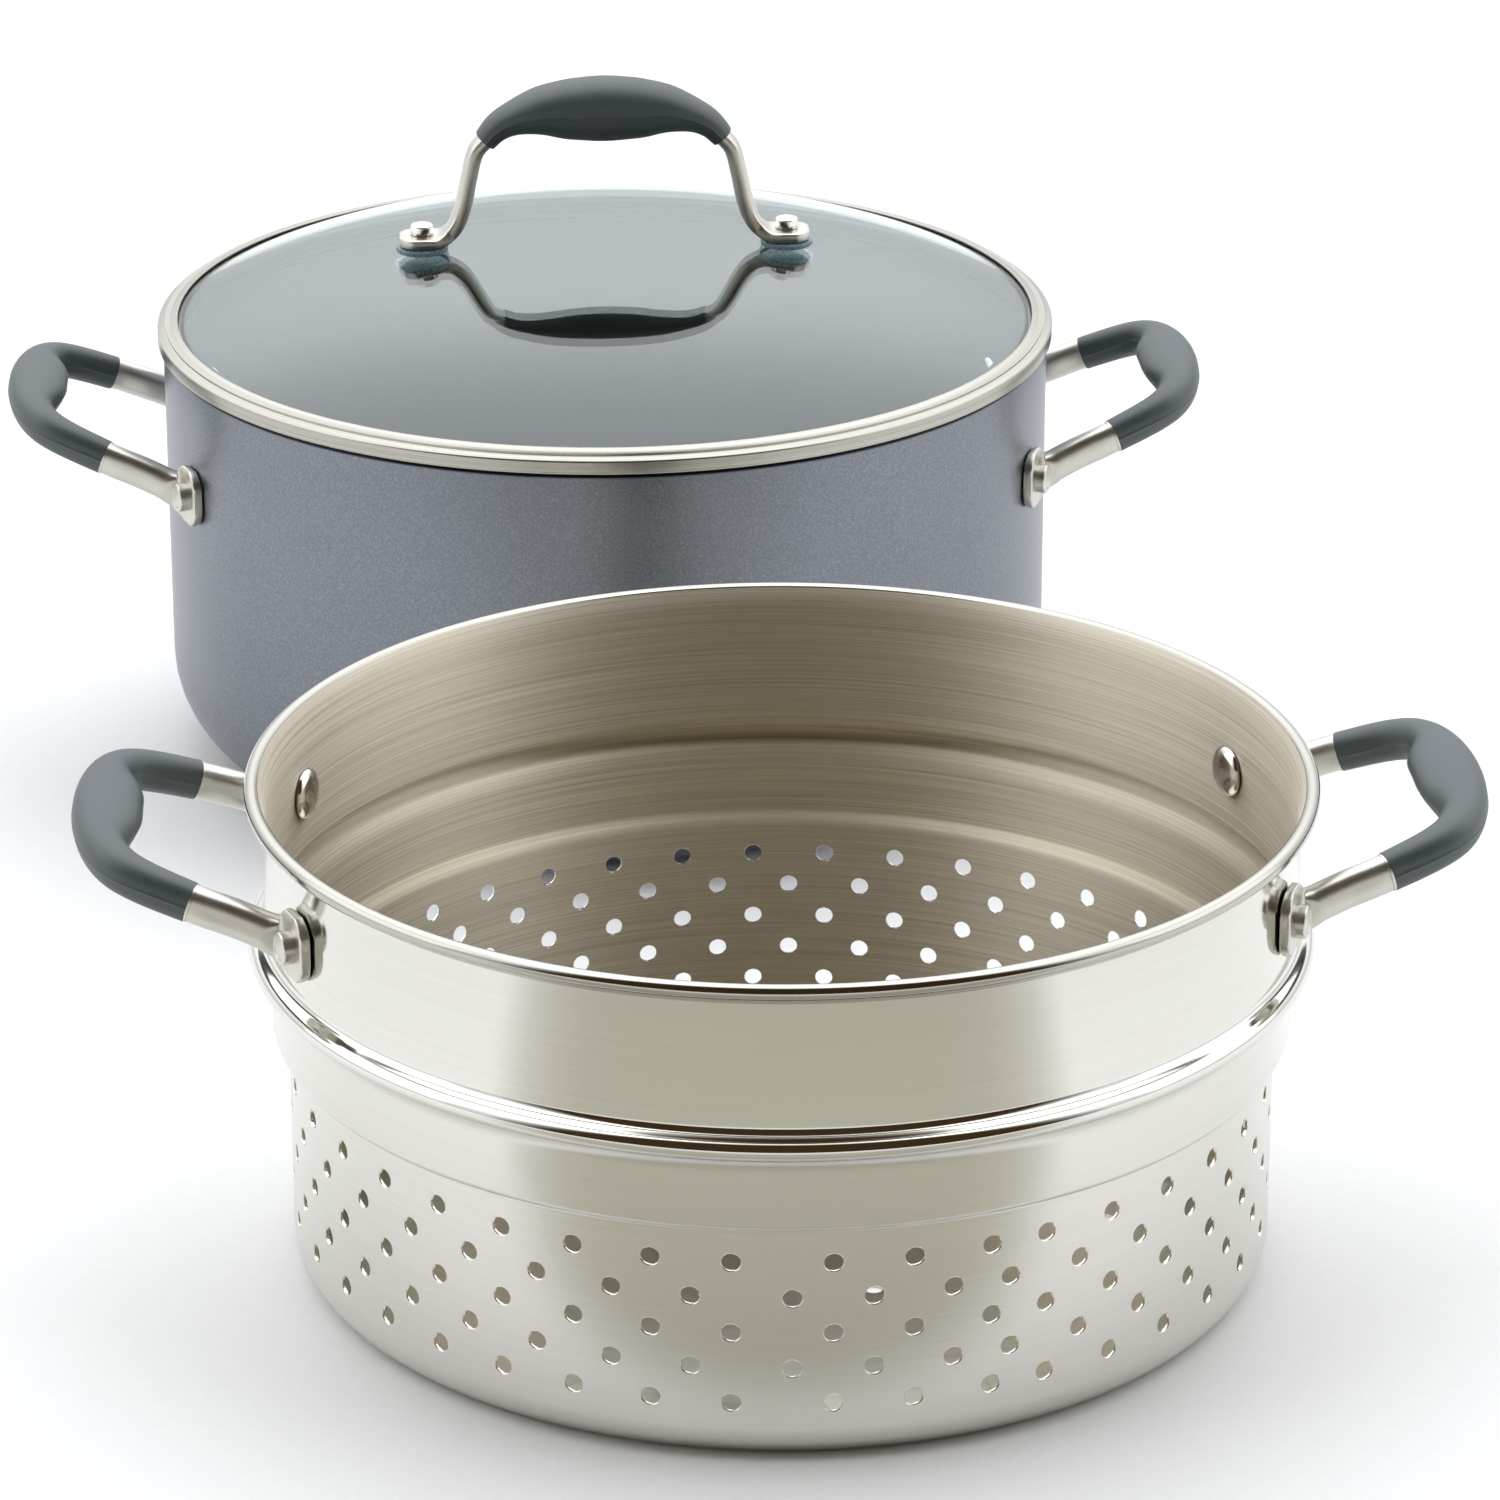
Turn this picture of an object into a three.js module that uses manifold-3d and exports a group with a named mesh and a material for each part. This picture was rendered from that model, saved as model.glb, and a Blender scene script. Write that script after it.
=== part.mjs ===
// Stockpot with a glass lid and a steamer insert. Millimetres, +Z up.
// The origin is the middle of the pot's base. All handles lie along X, the lid is on the pot,
// and the insert stands on the same floor in front of the pot, towards -Y.

import * as THREE from 'three';
import { mergeVertices } from 'three/addons/utils/BufferGeometryUtils.js';
import Module from 'manifold-3d';

const wasm = await Module();
wasm.setup();

// Fits
const SEAT_GAP = 0.3;
const RIVET_PLAY = 0.3;
const CORE_PLAY = 0.3;

// Pot, a drawn and hard-anodised shell
const POT_RADIUS = 140;
const POT_HEIGHT = 136;
const POT_WALL = 3;
const POT_FLOOR = 5;
const POT_CORNER = 33;
const POT_RIM_ROUND = 1;

// Insert, one drawn steel sheet
const SHEET = 0.8;
const INSERT_X = 30.5;
const INSERT_Y = -371;
const INSERT_HEIGHT = 135;
const INSERT_PLAY = 2;
const BASKET_STEP = 4;
const BASKET_CORNER = 9;
const BEAD_OVERHANG = 1;
const BEAD_DROP = 44.7;
const NECK_DROP = 8.3;
const STEP_DROP = 24.3;
const BEAD_ROUND = 2.9;
const SHOULDER_RISE = 1.8;
const UPPER_FLARE = 1.4;
const RIM_ROLL = 2.1;
const RIM_REACH = 5;

// Perforation of the insert
const HOLE_DIAMETER = 4.9;
const HOLES_PER_ROW = 40;
const HOLE_ROWS = 5;
const LOWEST_ROW = 16.8;
const TOP_ROW_DROP = 10.2;
const FIRST_HOLE_ANGLE = -0.4;
const SLIPPED_COLUMNS = 3;
const PUNCH_SLIP = 2.2;
const PUNCH_LENGTH = 36;
const PUNCH_BACK = 4;
const FLOOR_RINGS = 2;
const FLOOR_RING_PITCH = 44;
const HOLES_ON_FIRST_RING = 6;

// Lid
const BAND_OVERHANG = 1.8;
const BAND_SIDE = 4.2;
const BAND_CHAMFER = 0.9;
const BAND_SHEET = 1;
const BAND_LEDGE = 1.2;
const BAND_GRIP = 4;
const LIP_INSET = 4.8;
const SKIRT_PLAY = 0.7;
const SKIRT_DEPTH = 5;
const GLASS_THICKNESS = 4;
const GLASS_RISE = 22.8;
const CROWN_SHARE = 0.66;
const SHOULDER_POWER = 4;
const GLASS_SHOULDER_STEPS = [0.66, 0.81, 0.92, 1];

// Lid handle and its studs
const STUD_SPREAD = 57.6;
const STUD_SHANK = 5;
const STUD_HEAD = 7.2;
const STUD_HEAD_HEIGHT = 3;
const STUD_HOLE_PLAY = 1.2;
const WASHER_DIAMETER = 16.5;
const UPPER_WASHER = 1.8;
const LOWER_WASHER = 1.5;
const NUT_DIAMETER = 11;
const NUT_HEIGHT = 5;
const NUT_BORE_DEPTH = 3.6;
const LID_TAB_LENGTH = 15;
const LID_TAB_WIDTH = 15;
const LID_TAB_THICKNESS = 3.3;
const LID_TAB_CHAMFER = 4;
const LID_ARM_SPREAD = 43;
const LID_ARM_LEVEL = 17;
const LID_GRIP_SPREAD = 37.2;
const LID_GRIP_LEVEL = 32;
const LID_BOW_SPREAD = 20;
const LID_BOW_LEVEL = 41.1;
const LID_TOP_LEVEL = 41.6;
const LID_ARM = { across: 9, thick: 5.4 };
const LID_CORE = { across: 5.5, thick: 3.6 };
const LID_GRIP_END = { across: 11, thick: 7.4 };
const LID_GRIP_MIDDLE = { across: 21, thick: 20 };

// Side handles, on the pot and on the insert alike but for the slope of their bows
const POT_RIVET_DROP = 35.4;
const INSERT_RIVET_DROP = 24.7;
const POT_BOW_SLOPE = 0.42;
const INSERT_BOW_SLOPE = 0.36;
const RIVET_PITCH = 102;
const TAB_WIDTH = 15.5;
const TAB_HEIGHT = 18;
const TAB_THICKNESS = 3;
const TAB_CHAMFER = 4.5;
const ARM_ROOT_INSET = 9;
const ARM_BEND_REACH = 6;
const ARM_BEND_SPREAD = 43.2;
const GRIP_START_REACH = 18;
const GRIP_START_SPREAD = 41.5;
const BOW_CORNER_REACH = 36.5;
const BOW_CORNER_SPREAD = 33;
const BOW_REACH = 43;
const ARM_SHOULDER = 0.45;
const ARM = { across: 10, thick: 7.6 };
const CORE = { across: 6, thick: 4.6 };
const GRIP_END = { across: 10.6, thick: 8.6 };
const GRIP_MIDDLE = { across: 11, thick: 19 };
const PAD_INSET = 3;

// Rivets of the side handles
const RIVET_SHANK = 6;
const RIVET_STUB = 8.8;
const RIVET_STUB_HEIGHT = 3;
const RIVET_STUB_CHAMFER = 0.6;
const RIVET_HEAD = 14;
const RIVET_HEAD_HEIGHT = 2.8;

// Facets
const TURNED_FACETS = 32;
const PIN_FACETS = 8;
const WASHER_FACETS = 10;
const HOLE_FACETS = 5;
const SECTION_FACETS = 8;
const SECTION_SQUARENESS = 2.4;
const GRIP_STATIONS = 6;
const ARM_STATIONS = 2;
const MERGE_DISTANCE = 1e-4;

// Sizes that follow from the ones above
const POT_INSIDE = POT_RADIUS - POT_WALL;
const NECK_RADIUS = POT_INSIDE - INSERT_PLAY;
const BASKET_RADIUS = NECK_RADIUS - BASKET_STEP;
const UPPER_RADIUS = NECK_RADIUS + UPPER_FLARE;
const BEAD_RADIUS = POT_RADIUS + BEAD_OVERHANG;
const RIM_RADIUS = UPPER_RADIUS + RIM_REACH;
const BEAD_LEVEL = INSERT_HEIGHT - BEAD_DROP;
const NECK_TOP = BEAD_LEVEL - NECK_DROP;
const STEP_LEVEL = BEAD_LEVEL - STEP_DROP;
const HOLE_PITCH = 360 / HOLES_PER_ROW;
const ROW_PITCH = (STEP_LEVEL - TOP_ROW_DROP - LOWEST_ROW) / (HOLE_ROWS - 1);
const POT_RIVET_LEVEL = POT_HEIGHT - POT_RIVET_DROP;
const INSERT_RIVET_LEVEL = INSERT_HEIGHT - INSERT_RIVET_DROP;
const BAND_BOTTOM = POT_HEIGHT + SEAT_GAP;
const BAND_RADIUS = POT_RADIUS + BAND_OVERHANG;
const LIP_RADIUS = POT_RADIUS - LIP_INSET;
const GLASS_RADIUS = LIP_RADIUS + BAND_GRIP - SEAT_GAP;
const GLASS_BOTTOM = BAND_BOTTOM + BAND_LEDGE + SEAT_GAP;
const GLASS_EDGE = GLASS_BOTTOM + GLASS_THICKNESS;
const LIP_TOP = GLASS_EDGE + SEAT_GAP + BAND_SHEET;
const SKIRT_RADIUS = Math.min(POT_INSIDE, UPPER_RADIUS - SHEET) - SKIRT_PLAY;
const UPPER_WASHER_BOTTOM = glassTop(STUD_SPREAD - WASHER_DIAMETER / 2) + SEAT_GAP;
const LID_TAB_BOTTOM = UPPER_WASHER_BOTTOM + UPPER_WASHER + SEAT_GAP;
const LID_TAB_TOP = LID_TAB_BOTTOM + LID_TAB_THICKNESS;
const LID_TAB_MIDDLE = LID_TAB_BOTTOM + LID_TAB_THICKNESS / 2;
const LOWER_WASHER_TOP = glassTop(STUD_SPREAD + WASHER_DIAMETER / 2) - GLASS_THICKNESS - SEAT_GAP;
const NUT_TOP = LOWER_WASHER_TOP - LOWER_WASHER - SEAT_GAP;

const FINISH = {
  anodised: { color: 0x565b68, roughness: 0.38, metalness: 0.75 },
  brushedSteel: { color: 0xc9c5bc, roughness: 0.34, metalness: 1 },
  polishedSteel: { color: 0xd2cec6, roughness: 0.14, metalness: 1 },
  grip: { color: 0x4b5054, roughness: 0.72, metalness: 0 },
  glass: { color: 0xc6d2d2, roughness: 0.03, metalness: 0, transparent: true, opacity: 0.35 },
  washer: { color: 0x6f8ea3, roughness: 0.35, metalness: 0 },
};

// Height of the glass over its radius: a shallow crown that falls away at the shoulder
function glassTop(radius) {
  const share = radius / LIP_RADIUS;
  const fall = CROWN_SHARE * share ** 2 + (1 - CROWN_SHARE) * share ** SHOULDER_POWER;
  return GLASS_EDGE + GLASS_RISE * (1 - fall);
}

function radians(degrees) {
  return THREE.MathUtils.degToRad(degrees);
}

// Circle whose facets, and not only whose corners, stay outside the given radius
function clearOfFacets(radius, facets) {
  return radius / Math.cos(Math.PI / facets);
}

// Points of an elliptic arc in the profile plane, angles in degrees from the outward direction
function arc(x, y, radiusX, radiusY, from, to, steps) {
  const points = [];
  for (let step = 0; step <= steps; step += 1) {
    const angle = radians(from + ((to - from) * step) / steps);
    points.push(new THREE.Vector2(x + radiusX * Math.cos(angle), y + radiusY * Math.sin(angle)));
  }
  return points;
}

function point(x, y) {
  return new THREE.Vector2(x, y);
}

// Position-only copy of a geometry with shared corners and no collapsed faces
function cleaned(geometry) {
  const copy = geometry.clone();
  copy.deleteAttribute('normal');
  copy.deleteAttribute('uv');
  const merged = mergeVertices(copy, MERGE_DISTANCE);
  const kept = [];
  const corners = merged.index.array;
  for (let i = 0; i < corners.length; i += 3) {
    const [a, b, c] = corners.slice(i, i + 3);
    if (a !== b && b !== c && c !== a) {
      kept.push(a, b, c);
    }
  }
  merged.setIndex(kept);
  return merged;
}

function solid(geometry) {
  const closed = cleaned(geometry);
  const vertProperties = Float32Array.from(closed.attributes.position.array);
  const triVerts = Uint32Array.from(closed.index.array);
  return new wasm.Manifold(new wasm.Mesh({ numProp: 3, vertProperties, triVerts }));
}

function geometryOf(body) {
  const mesh = body.getMesh();
  const geometry = new THREE.BufferGeometry();
  geometry.setAttribute('position', new THREE.BufferAttribute(mesh.vertProperties, 3));
  geometry.setIndex(Array.from(mesh.triVerts));
  return geometry;
}

function cut(geometry, cutters) {
  const body = cutters.reduce((rest, cutter) => rest.subtract(solid(cutter)), solid(geometry));
  return geometryOf(body);
}

function join(geometries) {
  const [first, ...others] = geometries;
  return geometryOf(others.reduce((whole, next) => whole.add(solid(next)), solid(first)));
}

// Many separate cutters as one geometry
function gathered(geometries) {
  const positions = [];
  const corners = [];
  for (const geometry of geometries.map(cleaned)) {
    const base = positions.length / 3;
    positions.push(...geometry.attributes.position.array);
    corners.push(...Array.from(geometry.index.array, (corner) => corner + base));
  }
  const all = new THREE.BufferGeometry();
  all.setAttribute('position', new THREE.Float32BufferAttribute(positions, 3));
  all.setIndex(corners);
  return all;
}

// Revolve of a profile of radius and height round the Z axis
function turned(profile, facets = TURNED_FACETS, startAngle = 0) {
  const geometry = new THREE.LatheGeometry(profile, facets, startAngle);
  geometry.rotateX(Math.PI / 2);
  return geometry;
}

// A closed profile ends where it starts
function closedProfile(points) {
  return [...points, points[0].clone()];
}

// Ring of points round a station of a path, its height along "across" and its width square to that
function sectionRing(station, size) {
  const ring = [];
  const power = 2 / SECTION_SQUARENESS;
  for (let side = 0; side < SECTION_FACETS; side += 1) {
    const angle = (2 * Math.PI * side) / SECTION_FACETS;
    const up = Math.sign(Math.cos(angle)) * Math.abs(Math.cos(angle)) ** power;
    const out = Math.sign(Math.sin(angle)) * Math.abs(Math.sin(angle)) ** power;
    ring.push(
      station.at
        .clone()
        .addScaledVector(station.across, (up * size.across) / 2)
        .addScaledVector(station.side, (out * size.thick) / 2 - (size.inset ?? 0)),
    );
  }
  return ring;
}

// Station of a curve: its place, and the two directions of its section
function stationAt(curve, share, acrossHint) {
  const tangent = curve.getTangent(share);
  const across = acrossHint.clone().addScaledVector(tangent, -acrossHint.dot(tangent)).normalize();
  const side = new THREE.Vector3().crossVectors(tangent, across);
  return { at: curve.getPoint(share), across, side };
}

function skin(corners, rings, firstRing, inward) {
  const sides = SECTION_FACETS;
  for (let ring = 0; ring < rings - 1; ring += 1) {
    for (let side = 0; side < sides; side += 1) {
      const a = firstRing + ring * sides + side;
      const b = firstRing + ring * sides + ((side + 1) % sides);
      const quad = inward ? [b, a, a + sides, b + sides] : [a, b, b + sides, a + sides];
      corners.push(quad[0], quad[1], quad[2], quad[0], quad[2], quad[3]);
    }
  }
}

function fromRings(rings, corners) {
  const geometry = new THREE.BufferGeometry();
  geometry.setFromPoints(rings.flat());
  geometry.setIndex(corners);
  return geometry;
}

// Solid bar through a row of rings
function loftedBar(rings) {
  const corners = [];
  skin(corners, rings.length, 0, false);
  const last = (rings.length - 1) * SECTION_FACETS;
  for (let side = 1; side < SECTION_FACETS - 1; side += 1) {
    corners.push(0, side + 1, side, last, last + side, last + side + 1);
  }
  return fromRings(rings, corners);
}

// Open-ended sleeve between a row of outer rings and a row of bore rings
function loftedSleeve(outer, bore) {
  const corners = [];
  const firstBore = outer.length * SECTION_FACETS;
  skin(corners, outer.length, 0, false);
  skin(corners, bore.length, firstBore, true);
  const last = (outer.length - 1) * SECTION_FACETS;
  for (let side = 0; side < SECTION_FACETS; side += 1) {
    const next = (side + 1) % SECTION_FACETS;
    corners.push(side, firstBore + side, firstBore + next, side, firstBore + next, next);
    const [a, b] = [last + side, last + next];
    const [c, d] = [firstBore + last + next, firstBore + last + side];
    corners.push(a, b, c, a, c, d);
  }
  return fromRings([...outer, ...bore], corners);
}

function blended(start, end, share) {
  const eased = share * share * (3 - 2 * share);
  const mix = (a, b) => a + (b - a) * eased;
  return {
    across: mix(start.across, end.across),
    thick: mix(start.thick, end.thick),
    inset: mix(start.inset ?? 0, end.inset ?? 0),
  };
}

function widened(size, play) {
  return { ...size, across: size.across + 2 * play, thick: size.thick + 2 * play };
}

// Bow of a handle: a bar that is thick in the open and thin inside its sleeve, and the sleeve.
// The curve passes its points at even shares, and the sleeve reaches from the third to the third last.
function bowPieces(points, acrossHint, sizes) {
  const curve = new THREE.CatmullRomCurve3(points, false, 'centripetal');
  const sleeveStart = 2 / (points.length - 1);
  const sleeveEnd = 1 - sleeveStart;
  const shoulderShare = ARM_SHOULDER / curve.getLength();
  const bar = [];
  for (let step = 0; step <= ARM_STATIONS; step += 1) {
    const share = ((sleeveStart - shoulderShare) * step) / ARM_STATIONS;
    bar.push(sectionRing(stationAt(curve, share, acrossHint), sizes.arm));
  }
  const outer = [];
  const bore = [];
  for (let step = 0; step <= GRIP_STATIONS; step += 1) {
    const share = sleeveStart + ((sleeveEnd - sleeveStart) * step) / GRIP_STATIONS;
    const station = stationAt(curve, share, acrossHint);
    const nearness = 1 - Math.abs((2 * step) / GRIP_STATIONS - 1);
    outer.push(sectionRing(station, blended(sizes.sleeveEnd, sizes.sleeveMiddle, nearness)));
    bore.push(sectionRing(station, widened(sizes.core, CORE_PLAY)));
    if (step === 0) {
      bar.push(sectionRing(stationAt(curve, sleeveStart - shoulderShare, acrossHint), sizes.core));
    }
    bar.push(sectionRing(station, sizes.core));
    if (step === GRIP_STATIONS) {
      bar.push(sectionRing(stationAt(curve, sleeveEnd + shoulderShare, acrossHint), sizes.core));
    }
  }
  for (let step = ARM_STATIONS; step >= 0; step -= 1) {
    const share = 1 - ((sleeveStart - shoulderShare) * step) / ARM_STATIONS;
    bar.push(sectionRing(stationAt(curve, share, acrossHint), sizes.arm));
  }
  return { bar: loftedBar(bar), sleeve: loftedSleeve(outer, bore) };
}

// Plate outline with cut corners, middle at the origin
function chamferedPlate(width, height, chamfer) {
  const [x, y] = [width / 2, height / 2];
  return new THREE.Shape([
    point(x, -y + chamfer),
    point(x, y - chamfer),
    point(x - chamfer, y),
    point(-x + chamfer, y),
    point(-x, y - chamfer),
    point(-x, -y + chamfer),
    point(-x + chamfer, -y),
    point(x - chamfer, -y),
  ]);
}

function plate(shape, thickness) {
  return new THREE.ExtrudeGeometry(shape, { depth: thickness, bevelEnabled: false });
}

function pin(diameter, length, facets = PIN_FACETS) {
  const geometry = new THREE.CylinderGeometry(diameter / 2, diameter / 2, length, facets);
  geometry.rotateX(Math.PI / 2);
  return geometry;
}

// Frame at a rivet: Z leaves the wall, Y is up, at the given angle from the handle's middle
function rivetFrame(wallRadius, level, angle) {
  const out = new THREE.Vector3(Math.cos(angle), Math.sin(angle), 0);
  const up = new THREE.Vector3(0, 0, 1);
  const along = new THREE.Vector3().crossVectors(up, out);
  const frame = new THREE.Matrix4().makeBasis(along, up, out);
  frame.setPosition(out.clone().multiplyScalar(wallRadius).setZ(level));
  return frame;
}

function rivetAngle(wallRadius) {
  return Math.asin(RIVET_PITCH / 2 / wallRadius);
}

// Cutters for the rivets of the two handles on a round wall
function rivetCutters(wallRadius, level) {
  const diameter = 2 * clearOfFacets(RIVET_SHANK / 2 + RIVET_PLAY, PIN_FACETS);
  const angle = rivetAngle(wallRadius);
  return [angle, -angle, Math.PI + angle, Math.PI - angle].map((place) => {
    const cutter = pin(diameter, RIVET_HEAD);
    return cutter.applyMatrix4(rivetFrame(wallRadius, level, place));
  });
}

// Rivet with a domed head inside the wall and a plain stub outside the tab, wall face at zero
function rivetGeometry(wallRadius, wallThickness) {
  const facetFall = (wallRadius - wallThickness) * (1 - Math.cos(Math.PI / TURNED_FACETS));
  const headFace = -(wallThickness + facetFall + SEAT_GAP);
  const stubFace = SEAT_GAP + TAB_THICKNESS + SEAT_GAP;
  const stubTop = stubFace + RIVET_STUB_HEIGHT;
  return turned(
    [
      ...arc(0, headFace, RIVET_HEAD / 2, RIVET_HEAD_HEIGHT, -90, 0, 2),
      point(RIVET_SHANK / 2, headFace),
      point(RIVET_SHANK / 2, stubFace),
      point(RIVET_STUB / 2, stubFace),
      point(RIVET_STUB / 2, stubTop - RIVET_STUB_CHAMFER),
      point(RIVET_STUB / 2 - RIVET_STUB_CHAMFER, stubTop),
      point(0, stubTop),
    ],
    PIN_FACETS,
  );
}

// Side handle on a round wall, its middle towards +X and its bow in a plane that slopes up from the tabs
function sideHandle(wallRadius, level, slope) {
  const angle = rivetAngle(wallRadius);
  const tabFace = wallRadius + SEAT_GAP + TAB_THICKNESS;
  const root = new THREE.Vector3(
    tabFace * Math.cos(angle) + ARM_ROOT_INSET * Math.sin(angle),
    tabFace * Math.sin(angle) - ARM_ROOT_INSET * Math.cos(angle),
    level,
  );
  const tabMiddle = wallRadius + SEAT_GAP + TAB_THICKNESS / 2;
  const foot = tabMiddle * Math.cos(angle) + (TAB_WIDTH / 2) * Math.sin(angle);
  const onBow = (reach, spread) => {
    const x = wallRadius + reach;
    return new THREE.Vector3(x, spread, level + slope * (x - foot));
  };
  const half = [
    root,
    onBow(ARM_BEND_REACH, ARM_BEND_SPREAD),
    onBow(GRIP_START_REACH, GRIP_START_SPREAD),
    onBow(BOW_CORNER_REACH, BOW_CORNER_SPREAD),
  ];
  const middle = onBow(BOW_REACH, 0);
  const mirrored = half.map((place) => place.clone().setY(-place.y));
  const bow = [...mirrored, middle, ...half.reverse()];
  const { bar, sleeve } = bowPieces(bow, new THREE.Vector3(0, 0, 1), {
    arm: ARM,
    core: CORE,
    sleeveEnd: GRIP_END,
    sleeveMiddle: { ...GRIP_MIDDLE, inset: PAD_INSET },
  });
  const tabs = [angle, -angle].map((place) => {
    const tab = plate(chamferedPlate(TAB_WIDTH, TAB_HEIGHT, TAB_CHAMFER), TAB_THICKNESS);
    tab.translate(0, 0, SEAT_GAP);
    return tab.applyMatrix4(rivetFrame(wallRadius, level, place));
  });
  const stubSeats = [angle, -angle].map((place) => {
    const seat = pin(2 * clearOfFacets(RIVET_STUB / 2 + RIVET_PLAY, PIN_FACETS), TAB_HEIGHT);
    seat.translate(0, 0, SEAT_GAP + TAB_THICKNESS + TAB_HEIGHT / 2);
    return seat.applyMatrix4(rivetFrame(wallRadius, level, place));
  });
  const clearWall = clearOfFacets(wallRadius + SEAT_GAP, TURNED_FACETS);
  const wallRoom = pin(2 * clearWall, POT_HEIGHT, TURNED_FACETS).translate(0, 0, level);
  const rooted = cut(bar, [wallRoom]);
  const holes = rivetCutters(wallRadius, level).slice(0, 2);
  return { frame: cut(join([rooted, ...tabs]), [...holes, ...stubSeats]), grip: sleeve, angle };
}

// Pot
function potGeometry() {
  const insideCorner = POT_CORNER - POT_WALL;
  const profile = [
    point(0, 0),
    ...arc(POT_RADIUS - POT_CORNER, POT_CORNER, POT_CORNER, POT_CORNER, -90, 0, 4),
    point(POT_RADIUS, POT_HEIGHT - POT_RIM_ROUND),
    point(POT_RADIUS - POT_RIM_ROUND, POT_HEIGHT),
    point(POT_INSIDE + POT_RIM_ROUND, POT_HEIGHT),
    point(POT_INSIDE, POT_HEIGHT - POT_RIM_ROUND),
    ...arc(POT_INSIDE - insideCorner, POT_FLOOR + insideCorner, insideCorner, insideCorner, 0, -90, 3),
    point(0, POT_FLOOR),
  ];
  return cut(turned(profile), rivetCutters(POT_RADIUS, POT_RIVET_LEVEL));
}

// Sheet profile of the insert: outside from the middle of the base to the rolled rim, and back inside
function insertProfile() {
  const stepRound = (NECK_RADIUS - BASKET_RADIUS) / 2;
  const stepMiddle = BASKET_RADIUS + stepRound;
  const beadMiddle = BEAD_RADIUS - BEAD_ROUND;
  const underRound = beadMiddle - NECK_RADIUS;
  const underRise = BEAD_LEVEL - BEAD_ROUND - NECK_TOP;
  const shoulderRound = beadMiddle - UPPER_RADIUS;
  const shoulderLevel = BEAD_LEVEL + BEAD_ROUND + SHOULDER_RISE;
  const cornerMiddle = BASKET_RADIUS - BASKET_CORNER;
  const inCorner = BASKET_CORNER - SHEET;
  return [
    point(0, 0),
    ...arc(cornerMiddle, BASKET_CORNER, BASKET_CORNER, BASKET_CORNER, -90, 0, 2),
    ...arc(stepMiddle, STEP_LEVEL - stepRound, stepRound, stepRound, 180, 90, 1),
    point(NECK_RADIUS, STEP_LEVEL + stepRound),
    ...arc(beadMiddle, NECK_TOP, underRound, underRise, 180, 90, 2),
    ...arc(beadMiddle, BEAD_LEVEL, BEAD_ROUND, BEAD_ROUND, -45, 90, 3),
    point(UPPER_RADIUS, shoulderLevel),
    point(UPPER_RADIUS, INSERT_HEIGHT - 2 * RIM_ROLL),
    ...arc(RIM_RADIUS - RIM_ROLL, INSERT_HEIGHT - RIM_ROLL, RIM_ROLL, RIM_ROLL, -150, 150, 5),
    point(UPPER_RADIUS - SHEET, INSERT_HEIGHT - 2 * RIM_ROLL),
    point(UPPER_RADIUS - SHEET, shoulderLevel),
    point(beadMiddle, BEAD_LEVEL + BEAD_ROUND - SHEET),
    ...arc(beadMiddle, BEAD_LEVEL, BEAD_ROUND - SHEET, BEAD_ROUND - SHEET, 0, -90, 1),
    ...arc(beadMiddle, NECK_TOP, underRound + SHEET, underRise + SHEET, 135, 180, 1),
    point(NECK_RADIUS - SHEET, STEP_LEVEL + stepRound),
    point(stepMiddle, STEP_LEVEL - SHEET),
    point(BASKET_RADIUS - SHEET, STEP_LEVEL - stepRound),
    ...arc(cornerMiddle, BASKET_CORNER, inCorner, inCorner, 0, -90, 2),
    point(0, SHEET),
  ];
}

// Long pointed punch that has the area of the round hole at the sheet, its point towards -Z
function punch() {
  const slice = (2 * Math.PI) / HOLE_FACETS;
  const atSheet = (HOLE_DIAMETER / 2) * Math.sqrt(slice / Math.sin(slice));
  const atBack = (atSheet * PUNCH_LENGTH) / (PUNCH_LENGTH - PUNCH_BACK);
  const geometry = new THREE.ConeGeometry(atBack, PUNCH_LENGTH, HOLE_FACETS);
  geometry.rotateX(-Math.PI / 2);
  return geometry.translate(0, 0, PUNCH_BACK - PUNCH_LENGTH / 2);
}

// Staggered rows round the basket. One stroke of columns at the front landed a little late.
function wallPunches() {
  const punches = [];
  for (let row = 0; row < HOLE_ROWS; row += 1) {
    const offset = row % 2 === 0 ? 0 : -HOLE_PITCH / 2;
    for (let column = 0; column < HOLES_PER_ROW; column += 1) {
      const slip = column < SLIPPED_COLUMNS ? PUNCH_SLIP : 0;
      const angle = radians(FIRST_HOLE_ANGLE + offset + column * HOLE_PITCH + slip - 90);
      const level = LOWEST_ROW + row * ROW_PITCH;
      punches.push(punch().applyMatrix4(rivetFrame(BASKET_RADIUS, level, angle)));
    }
  }
  return punches;
}

// Rings of holes in the basket's floor round a middle hole
function floorPunches() {
  const punches = [punch()];
  for (let ring = 1; ring <= FLOOR_RINGS; ring += 1) {
    const count = ring * HOLES_ON_FIRST_RING;
    for (let place = 0; place < count; place += 1) {
      const angle = (2 * Math.PI * place) / count;
      const radius = ring * FLOOR_RING_PITCH;
      punches.push(punch().translate(radius * Math.cos(angle), radius * Math.sin(angle), 0));
    }
  }
  return punches;
}

function insertGeometry() {
  const quarterPitch = radians(FIRST_HOLE_ANGLE + HOLE_PITCH / 4);
  const sheet = turned(insertProfile(), HOLES_PER_ROW, quarterPitch);
  const holes = gathered([...wallPunches(), ...floorPunches()]);
  return cut(sheet, [holes, ...rivetCutters(UPPER_RADIUS, INSERT_RIVET_LEVEL)]);
}

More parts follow.
